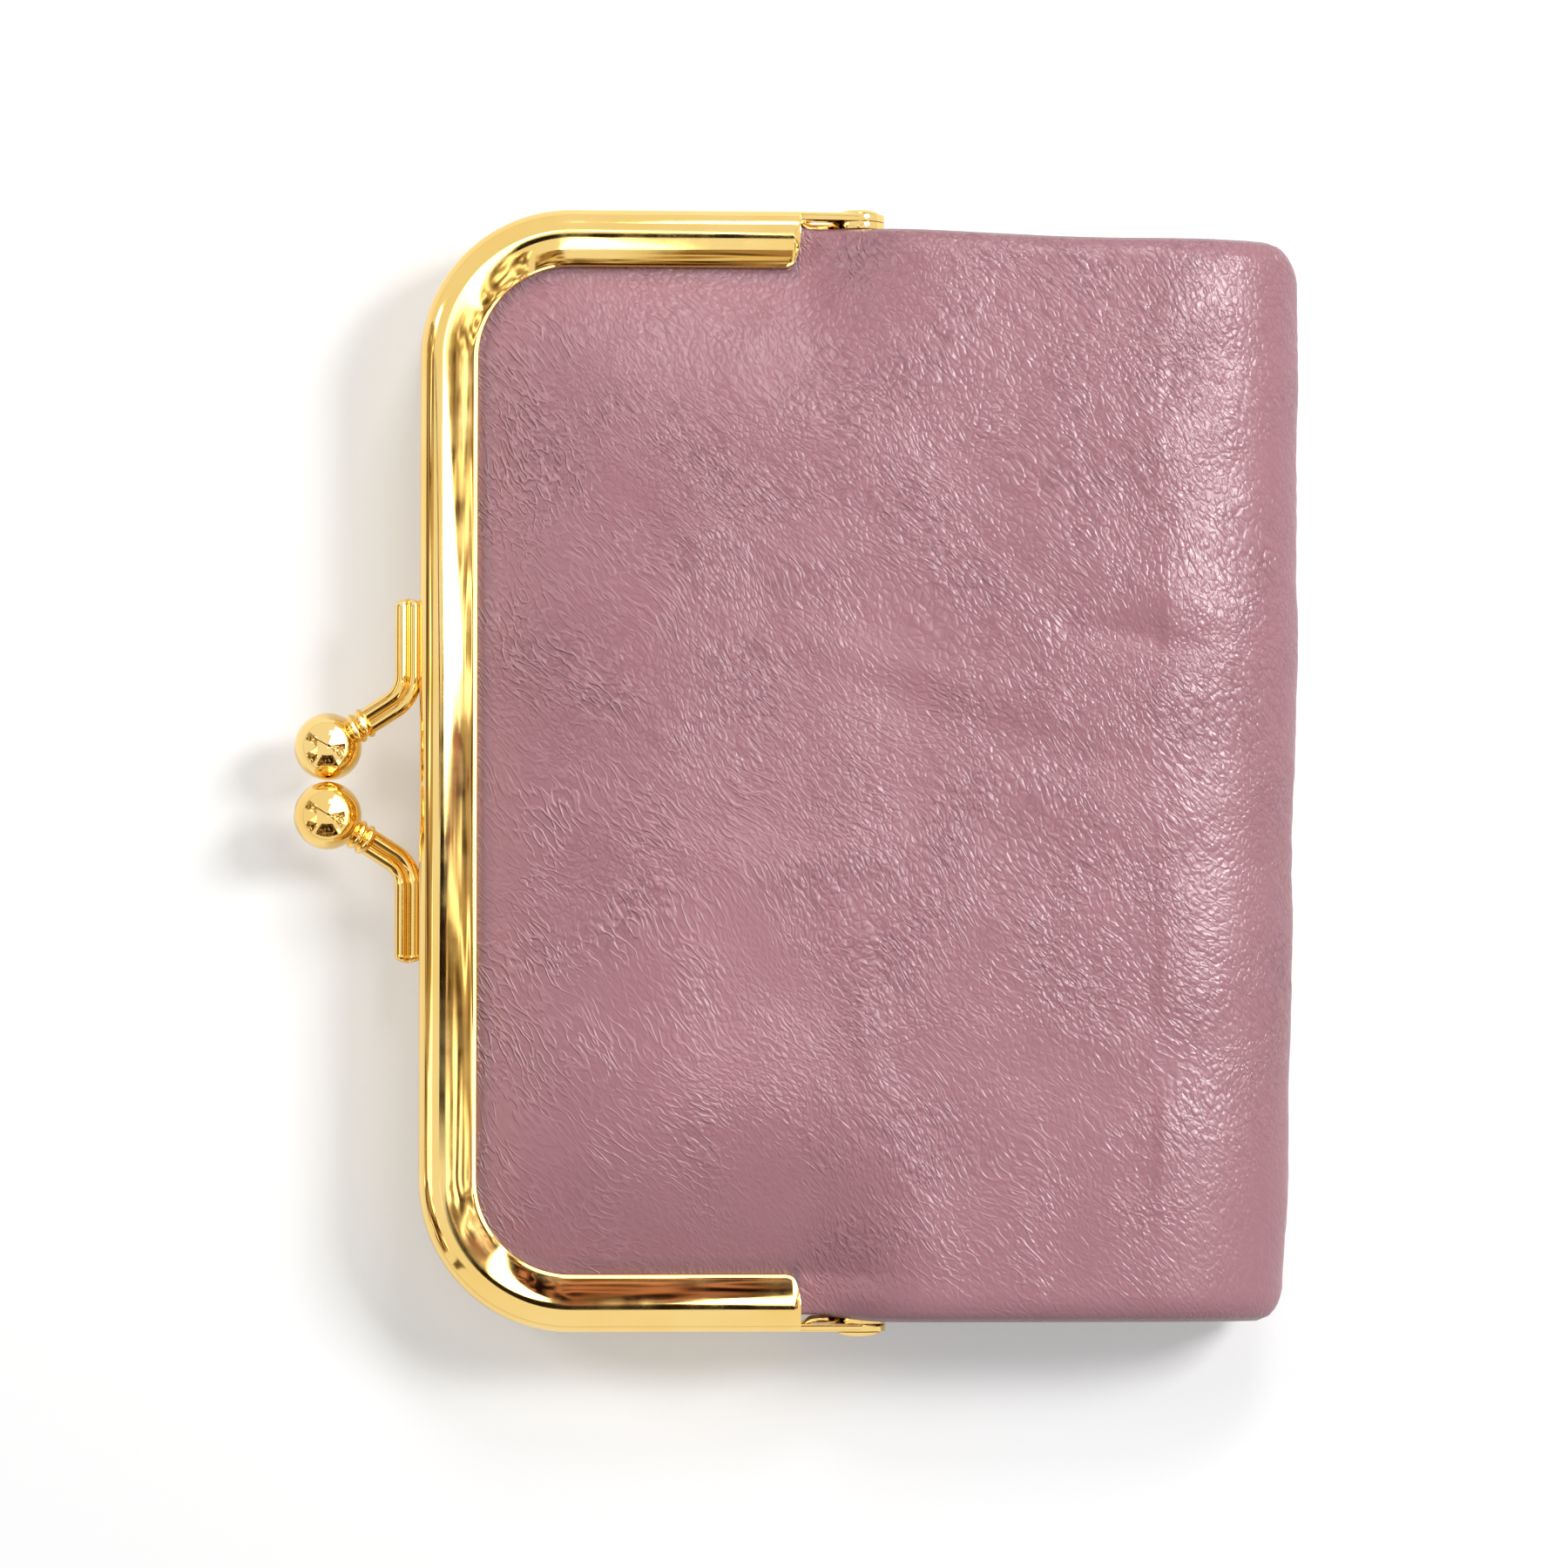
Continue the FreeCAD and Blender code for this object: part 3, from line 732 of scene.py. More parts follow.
def hingeRivets():
    r = rivet
    dome = arcRun(0, 0, 1, 0, 90, 10)
    profile = [(-r["grip"] - r["endHeight"] * b, max(r["end"] * a, 0)) for a, b in reversed(dome)]
    profile[0] = (profile[0][0], 0.0)
    edge = r["seat"] + r["rim"]
    profile += [(-r["grip"], r["shank"]), (r["seat"], r["shank"]), (r["seat"], r["head"] - r["under"])]
    profile += [(edge + (r["headHeight"] - r["rim"]) * b, r["head"] * a) for a, b in dome]
    profile[-1] = (profile[-1][0], 0.0)
    part = turnedPiece("rivetPart", profile, (0, 0, 0), (0, 0, 1), gold, 45, 48)
    points = outlineObject("hingeRivets", [(hingeX, -sideY, midZ), (hingeX, sideY, midZ)], False)
    growTree(points, setTree, {"Part": part, "Finish": gold}, 45)
    drop(part)
    return points


rivets = hingeRivets()
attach(rivets, "back_half")
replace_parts(rivets, "upper_hinge_rivet", "lower_hinge_rivet")

# paper cord twisted from three strands, pressed into each channel
cordSize = {
    "radius": 0.45, "lobe": 0.14, "inset": 1.2, "endGap": 1.4, "height": 1.3, "pitch": 2.6, "step": 0.35,
}


def paperCord(name, back):
    lobes = []
    for a in np.linspace(0, 2 * math.pi, 25)[:-1]:
        reach = cordSize["radius"] * (1 - cordSize["lobe"] + cordSize["lobe"] * math.cos(3 * a))
        lobes.append((reach * math.cos(a), reach * math.sin(a), 0.0))
    section = outlineObject("cordSection", lobes, True)
    inset = cordSize["inset"]
    x0, x1, y = spineX + inset, armX - cordSize["endGap"], sideY - inset
    z = midZ + cordSize["height"]
    obj = outlineObject(name, [(x1, -y, z), (x0, -y, z), (x0, y, z), (x1, y, z)], False)
    growTree(obj, sweepTree, {
        "Section": section, "Corner radius": (channel["corner"] - inset) * mm, "Corner steps": 32,
        "Step": cordSize["step"] * mm, "Twist": 2 * math.pi / (cordSize["pitch"] * mm),
        "Ripple size": 0.01, "Finish": paper}, 60)
    drop(section)
    return turnMeshOver(obj) if back else obj


for back, body in ((False, "front_half"), (True, "back_half")):
    side = "back" if back else "front"
    piece = paperCord(side + "PaperCord", back)
    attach(piece, body)
    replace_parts(piece, side + "_paper_cord")
print("frame halves, hinges and cords made")

# kiss clasp, its places taken from the front half's solids
clasp = {
    "footX": 1.05, "lean": 32.0, "ridge": 0.70, "ridgeSpread": 0.60, "bend": 3.2,
    "collarLength": 1.9, "collarSeat": 0.3, "collar": 1.55, "waist": 1.15, "seatDepth": 0.2, "endDepth": 0.1,
    "stemEnd": 0.6, "step": 0.12,
}
footZ = (channel["low"] + channel["innerBend"] + topZ - midZ - channel["shoulder"]) / 2
ballAt = sum(boxMm("front_clasp_ball")) / 2
ballRadius = np.ptp(boxMm("front_clasp_ball"), axis=0)[2] / 2
claspMiddle = (ballAt[1] + sum(boxMm("back_clasp_ball"))[1] / 2) / 2
footEndY = boxMm("front_clasp_stem")[1][1]


def claspHalf(back):
    c = clasp
    label = "back" if back else "front"
    footX = spineX - c["footX"]
    cornerY = ballAt[1] + (footX - ballAt[0]) * math.tan(math.radians(c["lean"]))
    corner = np.array([footX, cornerY, midZ + footZ])
    foot = np.array([footX, footEndY, midZ + footZ])
    axis = (corner - ballAt) / np.linalg.norm(corner - ballAt)
    collarStart = ballRadius - c["collarSeat"]
    collarEnd = collarStart + c["collarLength"] + c["endDepth"]
    stemEnd = ballAt + axis * (collarStart + c["collarLength"] * c["stemEnd"])
    # double-ridged strip
    cross = math.degrees(math.acos(c["ridgeSpread"] / c["ridge"]))
    left = arcRun(-c["ridgeSpread"], 0, c["ridge"], cross, 360 - cross, 22)
    right = arcRun(c["ridgeSpread"], 0, c["ridge"], -180 + cross, 180 - cross, 22)
    section = outlineObject("stemSection", [(x, y, 0.0) for x, y in left + right[1:-1]], True)
    stem = outlineObject(label + "ClaspStem", [foot, corner, stemEnd], False)
    growTree(stem, sweepTree, {
        "Section": section, "Corner radius": c["bend"] * mm, "Corner steps": 24, "Step": c["step"] * mm,
        "Round start": c["ridge"] * mm, "Ripple size": 0.01, "Finish": gold}, 60)
    drop(section)
    bead = c["collarLength"] / 2
    seat = collarStart - c["seatDepth"]
    rings = [(seat, 0.0), (seat, c["waist"])]
    for first in (collarStart, collarStart + bead):
        for s in np.linspace(0, 1, 9):
            rings.append((first + bead * s, c["waist"] + (c["collar"] - c["waist"]) * math.sin(math.pi * s)))
    rings += [(collarEnd, c["waist"] - c["endDepth"]), (collarEnd, 0.0)]
    collar = turnedPiece(label + "ClaspCollar", rings, ballAt, axis, gold, 60, 48)
    globe = [(ballRadius * math.cos(a), ballRadius * math.sin(a)) for a in np.linspace(math.pi, 0, 49)]
    globe = [(d, r if 1e-6 < r else 0.0) for d, r in globe]
    knob = turnedPiece(label + "ClaspBall", globe, ballAt, axis, gold, 80, 96)
    for piece, node in ((stem, "clasp_stem"), (collar, "clasp_collar"), (knob, "clasp_ball")):
        if back:
            turnMeshOver(piece, claspMiddle)
        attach(piece, label + "_half")
        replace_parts(piece, label + "_" + node)


claspHalf(False)
claspHalf(True)
print("clasp made")

# soft pouch, from the solids' outer shape
pouch = {
    "hide": 1.1, "boardGap": 0.6, "cloth": 0.35, "mouthRise": 26.0, "armRise": 24.0, "backRise": 17.0,
    # the first width on the next line is that of the painted shade strip along the flange
    "flangeShadeWidth": 1.8, "inset": 1.7, "mouthCorner": 12.9, "topCorner": 2.3, "lowCorner": 1.3,
    "rollWidth": 2.6, "rollDrop": 1.7, "sideDrop": 0.35, "sideDropWidth": 14.0,
    "taper": 0.0185, "taperShift": 0.35, "taperFrom": 12.0, "taperRun": 34.0, "foldEase": 6.0,
    "topTaper": 1.0, "topTaperFrom": 2.0, "topTaperRun": 30.0, "lowFlare": 0.7, "lowFlareRun": 8.0,
    "freeLead": 1.0, "freeRun": 7.0, "calmEdge": 0.5, "calmMouth": 9, "calmSide": 8, "calmEnd": 9,
    "mouthPlump": 21.0, "sidePlump": 18.0, "plumpLead": 0.5, "plumpEnd": 17.0, "plumpSoft": 0.003,
    "step": 0.37, "backStep": 0.8, "coarse": 4,
    "swell": 0.34, "swellSize": 24.0, "dent": 0.13, "dentSize": 9.0,
    "wrinkleDegrees": -48.0, "wrinkleSway": 2.2, "wrinkleSwaySize": 11,
}
# folds and dents that the hide has taken: from, to, half width and rise in millimetres
folds = [
    ((26, 13.4), (42, 11.6), 1.5, -0.3), ((30, 17.5), (41, 16.0), 3.2, 0.26),
    ((31, 8.2), (41, 7.0), 2.6, 0.2), ((-6, 14.5), (29, 3.6), 2.0, 0.16),
    ((10, 6.8), (30, -0.2), 2.8, -0.2), ((30, -3.2), (41, -3.8), 2.6, 0.18),
    ((29, -10.6), (41, -9.6), 2.4, -0.16), ((33, -20.4), (42, -21.6), 2.6, 0.18),
    ((-13, -4.6), (0, -5.4), 2.4, -0.16), ((-6, -10.2), (9, -8.0), 2.6, 0.16),
    ((-5, -24.5), (2, -23.0), 3.4, -0.14), ((4, -13.5), (8, -33.0), 1.7, 0.14),
    ((-13, 29.0), (-8, 20.0), 2.6, 0.14), ((-12, 24.6), (-16, 21.0), 2.4, -0.1),
    ((8, 29.0), (18, 22.0), 2.6, 0.13), ((14, 24.0), (26, 16.0), 2.2, -0.12),
    ((28, 34.0), (41, 37.0), 2.8, -0.14), ((30, 28.0), (42, 30.0), 2.6, 0.16),
    ((8, -34.0), (13, -46.0), 1.9, 0.12), ((-8, -38.0), (-3, -47.0), 1.8, 0.1),
    ((30, -32.0), (41, -29.0), 3.0, -0.12),
]
# how creased the hide is: a drift across it, two clouds by size and strength, and some places more
creased = {
    "base": 0.70, "perX": 0.0055, "perY": 0.0075, "wideCloud": (13, 0.55), "smallCloud": (6, 0.25),
    "patch": 0.55, "least": 0.22, "most": 1.15,
}
# those places: x, y and size in millimetres
creasedPatches = (
    (-9, 24, 6), (-4, 8, 6), (6, -11, 7), (8, -24, 5), (11, -38, 4), (-26, 10, 5), (-18, -13, 6),
)
# wrinkles of the hide: length, width, height and seed
wrinkles = ((4.6, 1.25, 0.050, 31), (2.6, 0.8, 0.030, 32))
flangeX = spineX + channel["flange"]
flangeY = sideY - channel["flange"]
emergeZ = boxMm("front_leather")[0][2] + pouch["hide"] - midZ
fullZ = crownZ - midZ


def panelHeight(x, y, mouthRise, armRise):
    # the solids' outer skin above the mid plane
    fromMouth = smooth((x - flangeX) / mouthRise)
    fromArm = smooth((flangeY - np.abs(y)) / armRise)
    pastArm = smooth((x - armX) / (creaseEndX - armX))
    return np.minimum(emergeZ + (fullZ - emergeZ) * fromMouth * (fromArm + (1 - fromArm) * pastArm), fullZ)


def plumpHeight(x, y):
    # the hide's outer skin: steepest where it leaves the flange, then soon plump
    p = pouch
    mouth = np.clip(1 - (x - flangeX) / p["mouthPlump"], 0, 1)
    side = np.clip(1 - (flangeY - np.abs(y)) / p["sidePlump"], 0, 1)
    side = side * (1 - smooth((x - armX + p["plumpLead"]) / p["plumpEnd"]))
    share = 1 - np.sqrt(mouth ** 4 + side ** 4)
    softShare = (share + np.sqrt(share ** 2 + p["plumpSoft"])) / 2
    return emergeZ + (fullZ - emergeZ) * np.clip(softShare, 0, 1)


def lineDistance(x, y, start, end):
    ax, ay = start
    bx, by = end
    t = np.clip(((x - ax) * (bx - ax) + (y - ay) * (by - ay)) / ((bx - ax) ** 2 + (by - ay) ** 2), 0, 1)
    return np.hypot(x - ax - t * (bx - ax), y - ay - t * (by - ay)), t


def creasingAt(x, y):
    # how strongly the hide is grained and wrinkled: more towards the fold's upper corner
    c = creased
    drift = c["base"] + c["perX"] * x + c["perY"] * y
    (wide, wideShare), (small, smallShare) = c["wideCloud"], c["smallCloud"]
    cloud = driftNoise(x / wide, y / wide, 3) * wideShare + driftNoise(x / small, y / small, 5) * smallShare
    patches = np.zeros_like(x)
    for px, py, size in creasedPatches:
        patches += c["patch"] * np.exp(-((x - px) ** 2 + (y - py) ** 2) / size ** 2)
    return np.clip(drift + cloud + patches, c["least"], c["most"])


def unevenness(x, y):
    # swell, dents and folds of the worn hide
    p = pouch
    rise = p["swell"] * driftNoise(x / p["swellSize"], y / p["swellSize"], 11)
    rise += p["dent"] * driftNoise(x / p["dentSize"], y / p["dentSize"], 12)
    for start, end, width, height in folds:
        away, t = lineDistance(x, y, start, end)
        fade = 0.45 + 0.55 * np.sin(math.pi * np.clip(t, 0.08, 0.92))
        rise += height * np.exp(-(away / width) ** 2) * fade
    # wrinkles run from upper left to lower right
    turn = math.radians(p["wrinkleDegrees"])
    sway, size = p["wrinkleSway"], p["wrinkleSwaySize"]
    bendX = x + sway * driftNoise(x / size, y / size, 21)
    bendY = y + sway * driftNoise(x / size, y / size, 22)
    along = bendX * math.cos(turn) + bendY * math.sin(turn)
    across = -bendX * math.sin(turn) + bendY * math.cos(turn)
    strength = smooth((creasingAt(x, y) - 0.25) / 0.8)
    for length, width, height, seed in wrinkles:
        rise += height * strength * driftNoise(along / length, across / width, seed)
    return rise


def taperAt(x, y):
    # the closed end runs slightly askew, as in a soft pouch
    p = pouch
    return (p["taper"] * y + p["taperShift"]) * smooth((x - p["taperFrom"]) / p["taperRun"])


def halfWidth(x, upper, inset):
    # plan outline: rounded into the frame at the mouth and at the fold's corners
    p = pouch
    wide = leatherY - inset
    near = spineX + p["inset"] + inset
    radius = p["mouthCorner"] - inset
    mouth = np.clip((near + radius - x) / radius, 0, 1)
    width = wide - radius + radius * np.sqrt(np.maximum(1 - mouth ** 2, 0))
    corner = p["topCorner"] if upper else p["lowCorner"]
    end = np.clip((x - (foldX - corner)) / corner, 0, 0.999)
    width = width - corner * (1 - np.sqrt(1 - end ** 2))
    if upper:
        width = width - p["topTaper"] * smooth((x - p["topTaperFrom"]) / p["topTaperRun"])
    else:
        width = width + p["lowFlare"] * smooth((x - armX) / p["lowFlareRun"])
    return width


def freeEdge(x):
    # 0 where the frame's arm holds the hide's side, 1 past the hinge
    return smooth((x - armX + pouch["freeLead"]) / pouch["freeRun"])


def flangeShadeAt(x, y):
    # the strip of hide close to the flange's inner edge, which gets painted shade
    corner = channel["corner"] - channel["flange"]
    inX = np.maximum(corner - (x - flangeX), 0)
    inY = np.maximum(corner - (flangeY - np.abs(y)), 0)
    away = corner - np.hypot(inX, inY)
    return np.clip(1 - away / pouch["flangeShadeWidth"], 0, 1) * (x < armX)


def hideShell(name, front, depth, thickness, step, uneven, inset, widthCap, material):
    # panel as a closed shell: outer grid, rolled sides and a coarser inner grid; the front one has the fold
    p = pouch
    near = spineX + p["inset"] + inset
    radius = foldRadius - depth
    flatEnd = foldAxisX - p["foldEase"] if front else foldAxisX
    flatCount = int(round((flatEnd - near) / step / p["coarse"])) * p["coarse"]
    runX = near + (flatEnd - near) * np.linspace(0, 1, flatCount + 1)
    turns = np.zeros_like(runX)
    if front:
        bendCount = max(int(round((math.pi * radius + p["foldEase"]) / step / p["coarse"])), 3) * p["coarse"]
        bend = np.linspace(0, math.pi, bendCount + 1)[1:]
        turns = np.concatenate([turns, bend])
        runX = np.concatenate([runX, np.full(bendCount, foldAxisX)])
    acrossCount = int(round(2 * leatherY / step / p["coarse"])) * p["coarse"]
    v = np.linspace(-1, 1, acrossCount + 1)

    def skin(below, trim):
        # points of a skin a given depth under the outside
        reach = foldRadius - below
        ease = np.where(turns < math.pi / 2, p["foldEase"], 0.0) if front else 0.0 * turns
        startX = np.where(turns > 0, runX - ease, runX)
        x = (startX + (reach + ease) * np.sin(turns))[:, None] + 0 * v[None, :]
        plainX = (startX + (foldRadius + ease) * np.sin(turns))[:, None] + 0 * v[None, :]
        upper = np.minimum(halfWidth(plainX, True, inset), widthCap(plainX)) - trim
        lower = np.minimum(halfWidth(plainX, False, inset), widthCap(plainX)) - trim
        y = np.where(v[None, :] >= 0, v[None, :] * upper, v[None, :] * lower)
        edgeGap = np.where(v[None, :] >= 0, upper - y, lower + y)
        if inset == 0:
            rise = plumpHeight(x, y)
        elif front:
            rise = panelHeight(x, y, p["mouthRise"], p["armRise"])
        else:
            rise = panelHeight(x, y, p["backRise"], p["backRise"])
        flat = turns[:, None] == 0
        z = np.where(flat, rise - below, reach * np.cos(turns)[:, None])
        radial = np.where(flat, 0, np.sin(turns)[:, None]), np.where(flat, 1, np.cos(turns)[:, None])
        # the hide stays calm close to the frame
        fromSide = smooth((flangeY - np.abs(y) - p["calmEdge"]) / p["calmSide"])
        fromSide = np.maximum(fromSide, freeEdge(x))
        keep = smooth((x - flangeX - p["calmEdge"]) / p["calmMouth"]) * fromSide
        if uneven > 0:
            arc = np.where(flat, x, foldAxisX + foldRadius * turns[:, None])
            toEnd = smooth((foldRadius * (math.pi - turns[:, None])) / p["calmEnd"])
            push = unevenness(arc, y) * uneven * keep * toEnd
            push = push - p["sideDrop"] * keep * smooth(1 - edgeGap / p["sideDropWidth"]) * freeEdge(x)
            x, z = x + radial[0] * push, z + radial[1] * push
        if inset == 0:
            roll = np.clip(1 - edgeGap / p["rollWidth"], 0, 1)
            fall = p["rollDrop"] * (1 - np.sqrt(np.maximum(1 - roll ** 2, 0))) * freeEdge(x)
            x, z = x - radial[0] * fall, z - radial[1] * fall
        x = x + taperAt(plainX, y)
        if not front:
            z = np.minimum(z, fullZ)
        return np.stack([x, y, midZ + z if front else midZ - z], axis=-1)

    outer = skin(depth, 0.0)
    rows, columns = outer.shape[:2]
    inner = skin(depth + thickness, thickness * 0.5)[::p["coarse"], ::p["coarse"]]
    inRows, inColumns = inner.shape[:2]
    base = rows * columns
    total = base + inRows * inColumns
    grid = np.arange(base).reshape(rows, columns)
    inGrid = np.arange(base, total).reshape(inRows, inColumns)
    points = [outer.reshape(-1, 3), inner.reshape(-1, 3)]
    faces = gridFaces(grid, not front) + gridFaces(inGrid, front)

    def rim(denseRun, coarseRun, flip):
        # closes an edge with two more lines of points, then joins the coarse inside
        nonlocal total
        dense = np.concatenate(points)[denseRun]
        coarse = np.concatenate(points)[coarseRun]
        marks = np.arange(len(coarseRun))
        spread = np.linspace(0, len(coarseRun) - 1, len(denseRun))
        inside = np.stack([np.interp(spread, marks, values) for values in coarse.T], axis=1)
        centre = (dense + inside) / 2
        last = denseRun
        for share in (0.33, 0.66):
            line = centre + (dense - centre) * math.cos(math.pi * share)
            points.append(line)
            run = list(range(total, total + len(line)))
            total += len(line)
            for i in range(len(run) - 1):
                quad = (last[i], last[i + 1], run[i + 1], run[i])
                faces.append(quad[::-1] if flip else quad)
            last = run
        for i in range(len(coarseRun) - 1):
            k = p["coarse"]
            loop = [last[j] for j in range(i * k, i * k + k + 1)] + [coarseRun[i + 1], coarseRun[i]]
            faces.append(tuple(loop[::-1]) if flip else tuple(loop))

    rim(list(grid[:, 0]), list(inGrid[:, 0]), front)
    rim(list(grid[:, -1]), list(inGrid[:, -1]), not front)
    rim(list(grid[0, :]), list(inGrid[0, :]), not front)
    rim(list(grid[-1, :]), list(inGrid[-1, :]), front)
    obj = makePiece(name, np.concatenate(points), faces, material, 180)
    tidyMesh(obj.data, 180)
    x, y = meshPoints(obj.data).T[:2]
    pointValues(obj.data, "creasing", creasingAt(x, y))
    # where the hide gets painted shade from the flange
    pointValues(obj.data, "tuck", flangeShadeAt(x, y))
    return obj


def noCap(x):
    return np.full_like(x, 999.0)


frontHide = hideShell("frontHide", True, 0.0, pouch["hide"], pouch["step"], 1.0, 0.0, noCap, hide)
backHide = hideShell("backHide", False, 0.0, pouch["hide"], pouch["backStep"], 0.0, 0.0, noCap, hide)
print("hide made:", len(frontHide.data.polygons), "faces in front,", len(backHide.data.polygons), "behind")
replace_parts(frontHide, "front_leather", "crease_leather", "lower_front_leather", "fold_leather")
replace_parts(backHide, "back_leather")
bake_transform(frontHide)
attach(backHide, "back_half")

# lining, kept clear of the side folds
lining = {"step": 1.2, "inset": 0.5, "sideGap": 0.4, "foldGap": 3.6, "gapFrom": 2.0, "gapRun": 10.0}
liningDepth = pouch["hide"] + pouch["boardGap"]


def liningCap(x):
    away = smooth((x - lining["gapFrom"]) / lining["gapRun"])
    return leatherY - lining["sideGap"] - lining["foldGap"] * away


liningForm = (liningDepth, pouch["cloth"], lining["step"], 0.0, lining["inset"], liningCap, cloth)
frontLining = hideShell("frontLining", True, *liningForm)
backLining = hideShell("backLining", False, *liningForm)
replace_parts(frontLining, "front_lining", "crease_lining")
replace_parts(backLining, "pouch_lining")
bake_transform(frontLining)
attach(backLining, "back_half")


print("lining made")

# side folds between the panels
gusset = {
    "edge": 51.3, "depth": 8.0, "start": 12.4375, "thickness": 0.9, "soft": 0.9, "steps": 44, "across": 40,
    "endGap": 0.3, "gap": 0.08, "foldGap": 0.9, "foldGapLead": 4, "foldGapRun": 9, "leastHeight": 0.0004,
    "sheetShare": 1.3, "softShare": 0.4, "wave": 0.25, "waveX": 9, "waveZ": 5,
    "draw": 0.5, "drawFrom": 30, "drawRun": 16, "creasing": 0.5,
}


def sideFold(name, side):
    g = gusset
    endX = foldAxisX + foldRadius - pouch["hide"] - g["endGap"]
    rows = g["start"] + (endX - g["start"]) * np.sin(np.linspace(0, math.pi / 2, g["steps"] + 1))
    sheets = []
    for inward in (0.0, g["thickness"]):
        s = np.linspace(-1, 1, g["across"] + 1)
        x = rows[:, None] + 0 * s[None, :]
        limit = foldRadius - pouch["hide"] - g["gap"]
        past = np.clip((x - foldAxisX) / limit, 0, 1)
        height = limit * np.sqrt(np.maximum(1 - past ** 2, g["leastHeight"]))
        # the front panel bends down sooner than the back one
        easeX = foldAxisX - pouch["foldEase"]
        eased = np.clip((x - easeX) / (limit + pouch["foldEase"]), 0, 1)
        upLimit = limit - g["foldGap"] * smooth((x - easeX + g["foldGapLead"]) / g["foldGapRun"])
        upHeight = upLimit * np.sqrt(np.maximum(1 - eased ** 2, g["leastHeight"]))
        z = np.where(s[None, :] > 0, upHeight, height) * s[None, :]
        soft = g["soft"] / foldRadius
        level = np.sqrt((z / foldRadius) ** 2 + soft ** 2) - soft * g["softShare"]
        y = g["edge"] - g["depth"] * (1 - level)
        y = y - inward * g["sheetShare"]
        y = y + g["wave"] * driftNoise(x / g["waveX"], z / g["waveZ"], 41 + side)
        y = y - g["draw"] * smooth((x - g["drawFrom"]) / g["drawRun"])
        sheets.append(np.stack([x + taperAt(x, side * y), side * y, midZ + z], axis=-1))
    rowCount, columnCount = sheets[0].shape[:2]
    points = np.concatenate([sheet.reshape(-1, 3) for sheet in sheets])
    grid = np.arange(rowCount * columnCount).reshape(rowCount, columnCount)
    under = grid + rowCount * columnCount
    faces = gridFaces(grid) + gridFaces(under[:, ::-1])
    for edge in ((0,), (-1,), (slice(None), 0), (slice(None), -1)):
        top, low = grid[edge], under[edge]
        for i in range(len(top) - 1):
            faces.append((top[i], top[i + 1], low[i + 1], low[i]))
    obj = makePiece(name, points, faces, hide, 60)
    tidyMesh(obj.data, 60)
    pointValues(obj.data, "creasing", np.full(len(obj.data.vertices), g["creasing"]))
    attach(obj, "back_half")
    return obj


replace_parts(sideFold("upperGusset", 1), "upper_gusset")
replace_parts(sideFold("lowerGusset", -1), "lower_gusset")
print("side folds made")

# boards stay as solids inside the panels
for node in ("front_stiffener", "lower_front_stiffener", "back_stiffener"):
    slots = frame["nodes"][node].data.materials
    slots.clear()
    slots.append(board)

# stage: floor, world, lamps and camera
stage = {
    "floorHalf": 4000.0, "floorTone": 0.82, "floorBounce": 0.45, "floorGlow": 0.33, "ambient": 0.21,
    "lampAim": 8.0, "rimRoom": 5.0, "spotRoom": 9.0,
    "target": (-1.0, -1.3, 9.0), "distance": 640.0, "tilt": (-3.0, -3.0), "fieldWidth": 151.4,
}


def seenDirectly(tree):
    # 1 for what the camera sees, also by way of a mirror or a clear piece
    path = tree.nodes.new("ShaderNodeLightPath").outputs
    seen = mathNode(tree, "MAXIMUM", path["Is Camera Ray"], path["Is Glossy Ray"])
    return mathNode(tree, "MAXIMUM", seen, path["Is Transmission Ray"])


def makeFloor():
    half = stage["floorHalf"]
    points = [(-half, -half, 0), (half, -half, 0), (half, half, 0), (-half, half, 0)]
    material, tree, out = bareMaterial("paleFloor")
    seen = seenDirectly(tree)
    # less light comes back up to the sides than the white floor would give
    shade = mixColour(tree, seen, (stage["floorBounce"],) * 3, (stage["floorTone"],) * 3)
    matt = addNode(tree, "ShaderNodeBsdfDiffuse", {}, {"Color": shade})
    glow = addNode(tree, "ShaderNodeEmission", {}, {
        "Color": (1, 1, 1, 1), "Strength": mathNode(tree, "MULTIPLY", seen, stage["floorGlow"])})
    both = addNode(tree, "ShaderNodeAddShader", {}, {0: matt.outputs[0], 1: glow.outputs[0]})
    feed(tree, out, {"Surface": both.outputs[0]})
    makePiece("paleFloor", points, [(0, 1, 2, 3)], material, 180)


def makeWorld():
    world = bpy.data.worlds.new("studio")
    scene.world = world
    world.use_nodes = True
    tree = world.node_tree
    seen = seenDirectly(tree)
    strength = mathNode(tree, "MULTIPLY_ADD", seen, 1.0 - stage["ambient"], stage["ambient"])
    feed(tree, tree.nodes["Background"], {"Color": (1, 1, 1, 1), "Strength": strength})


def softLamp(name, zenith, azimuth, distance, size, watts):
    lamp = bpy.data.lights.new(name, "AREA")
    lamp.shape = "RECTANGLE"
    lamp.size, lamp.size_y = size[0] * mm, size[1] * mm
    lamp.energy = watts
    obj = addObject(name, lamp)
    z, a = math.radians(zenith), math.radians(azimuth)
    way = Vector((math.sin(z) * math.cos(a), math.sin(z) * math.sin(a), math.cos(z)))
    obj.location = way * distance * mm + Vector((0, 0, stage["lampAim"] * mm))
    obj.rotation_mode = "QUATERNION"
    obj.rotation_quaternion = way.to_track_quat("Z", "Y")


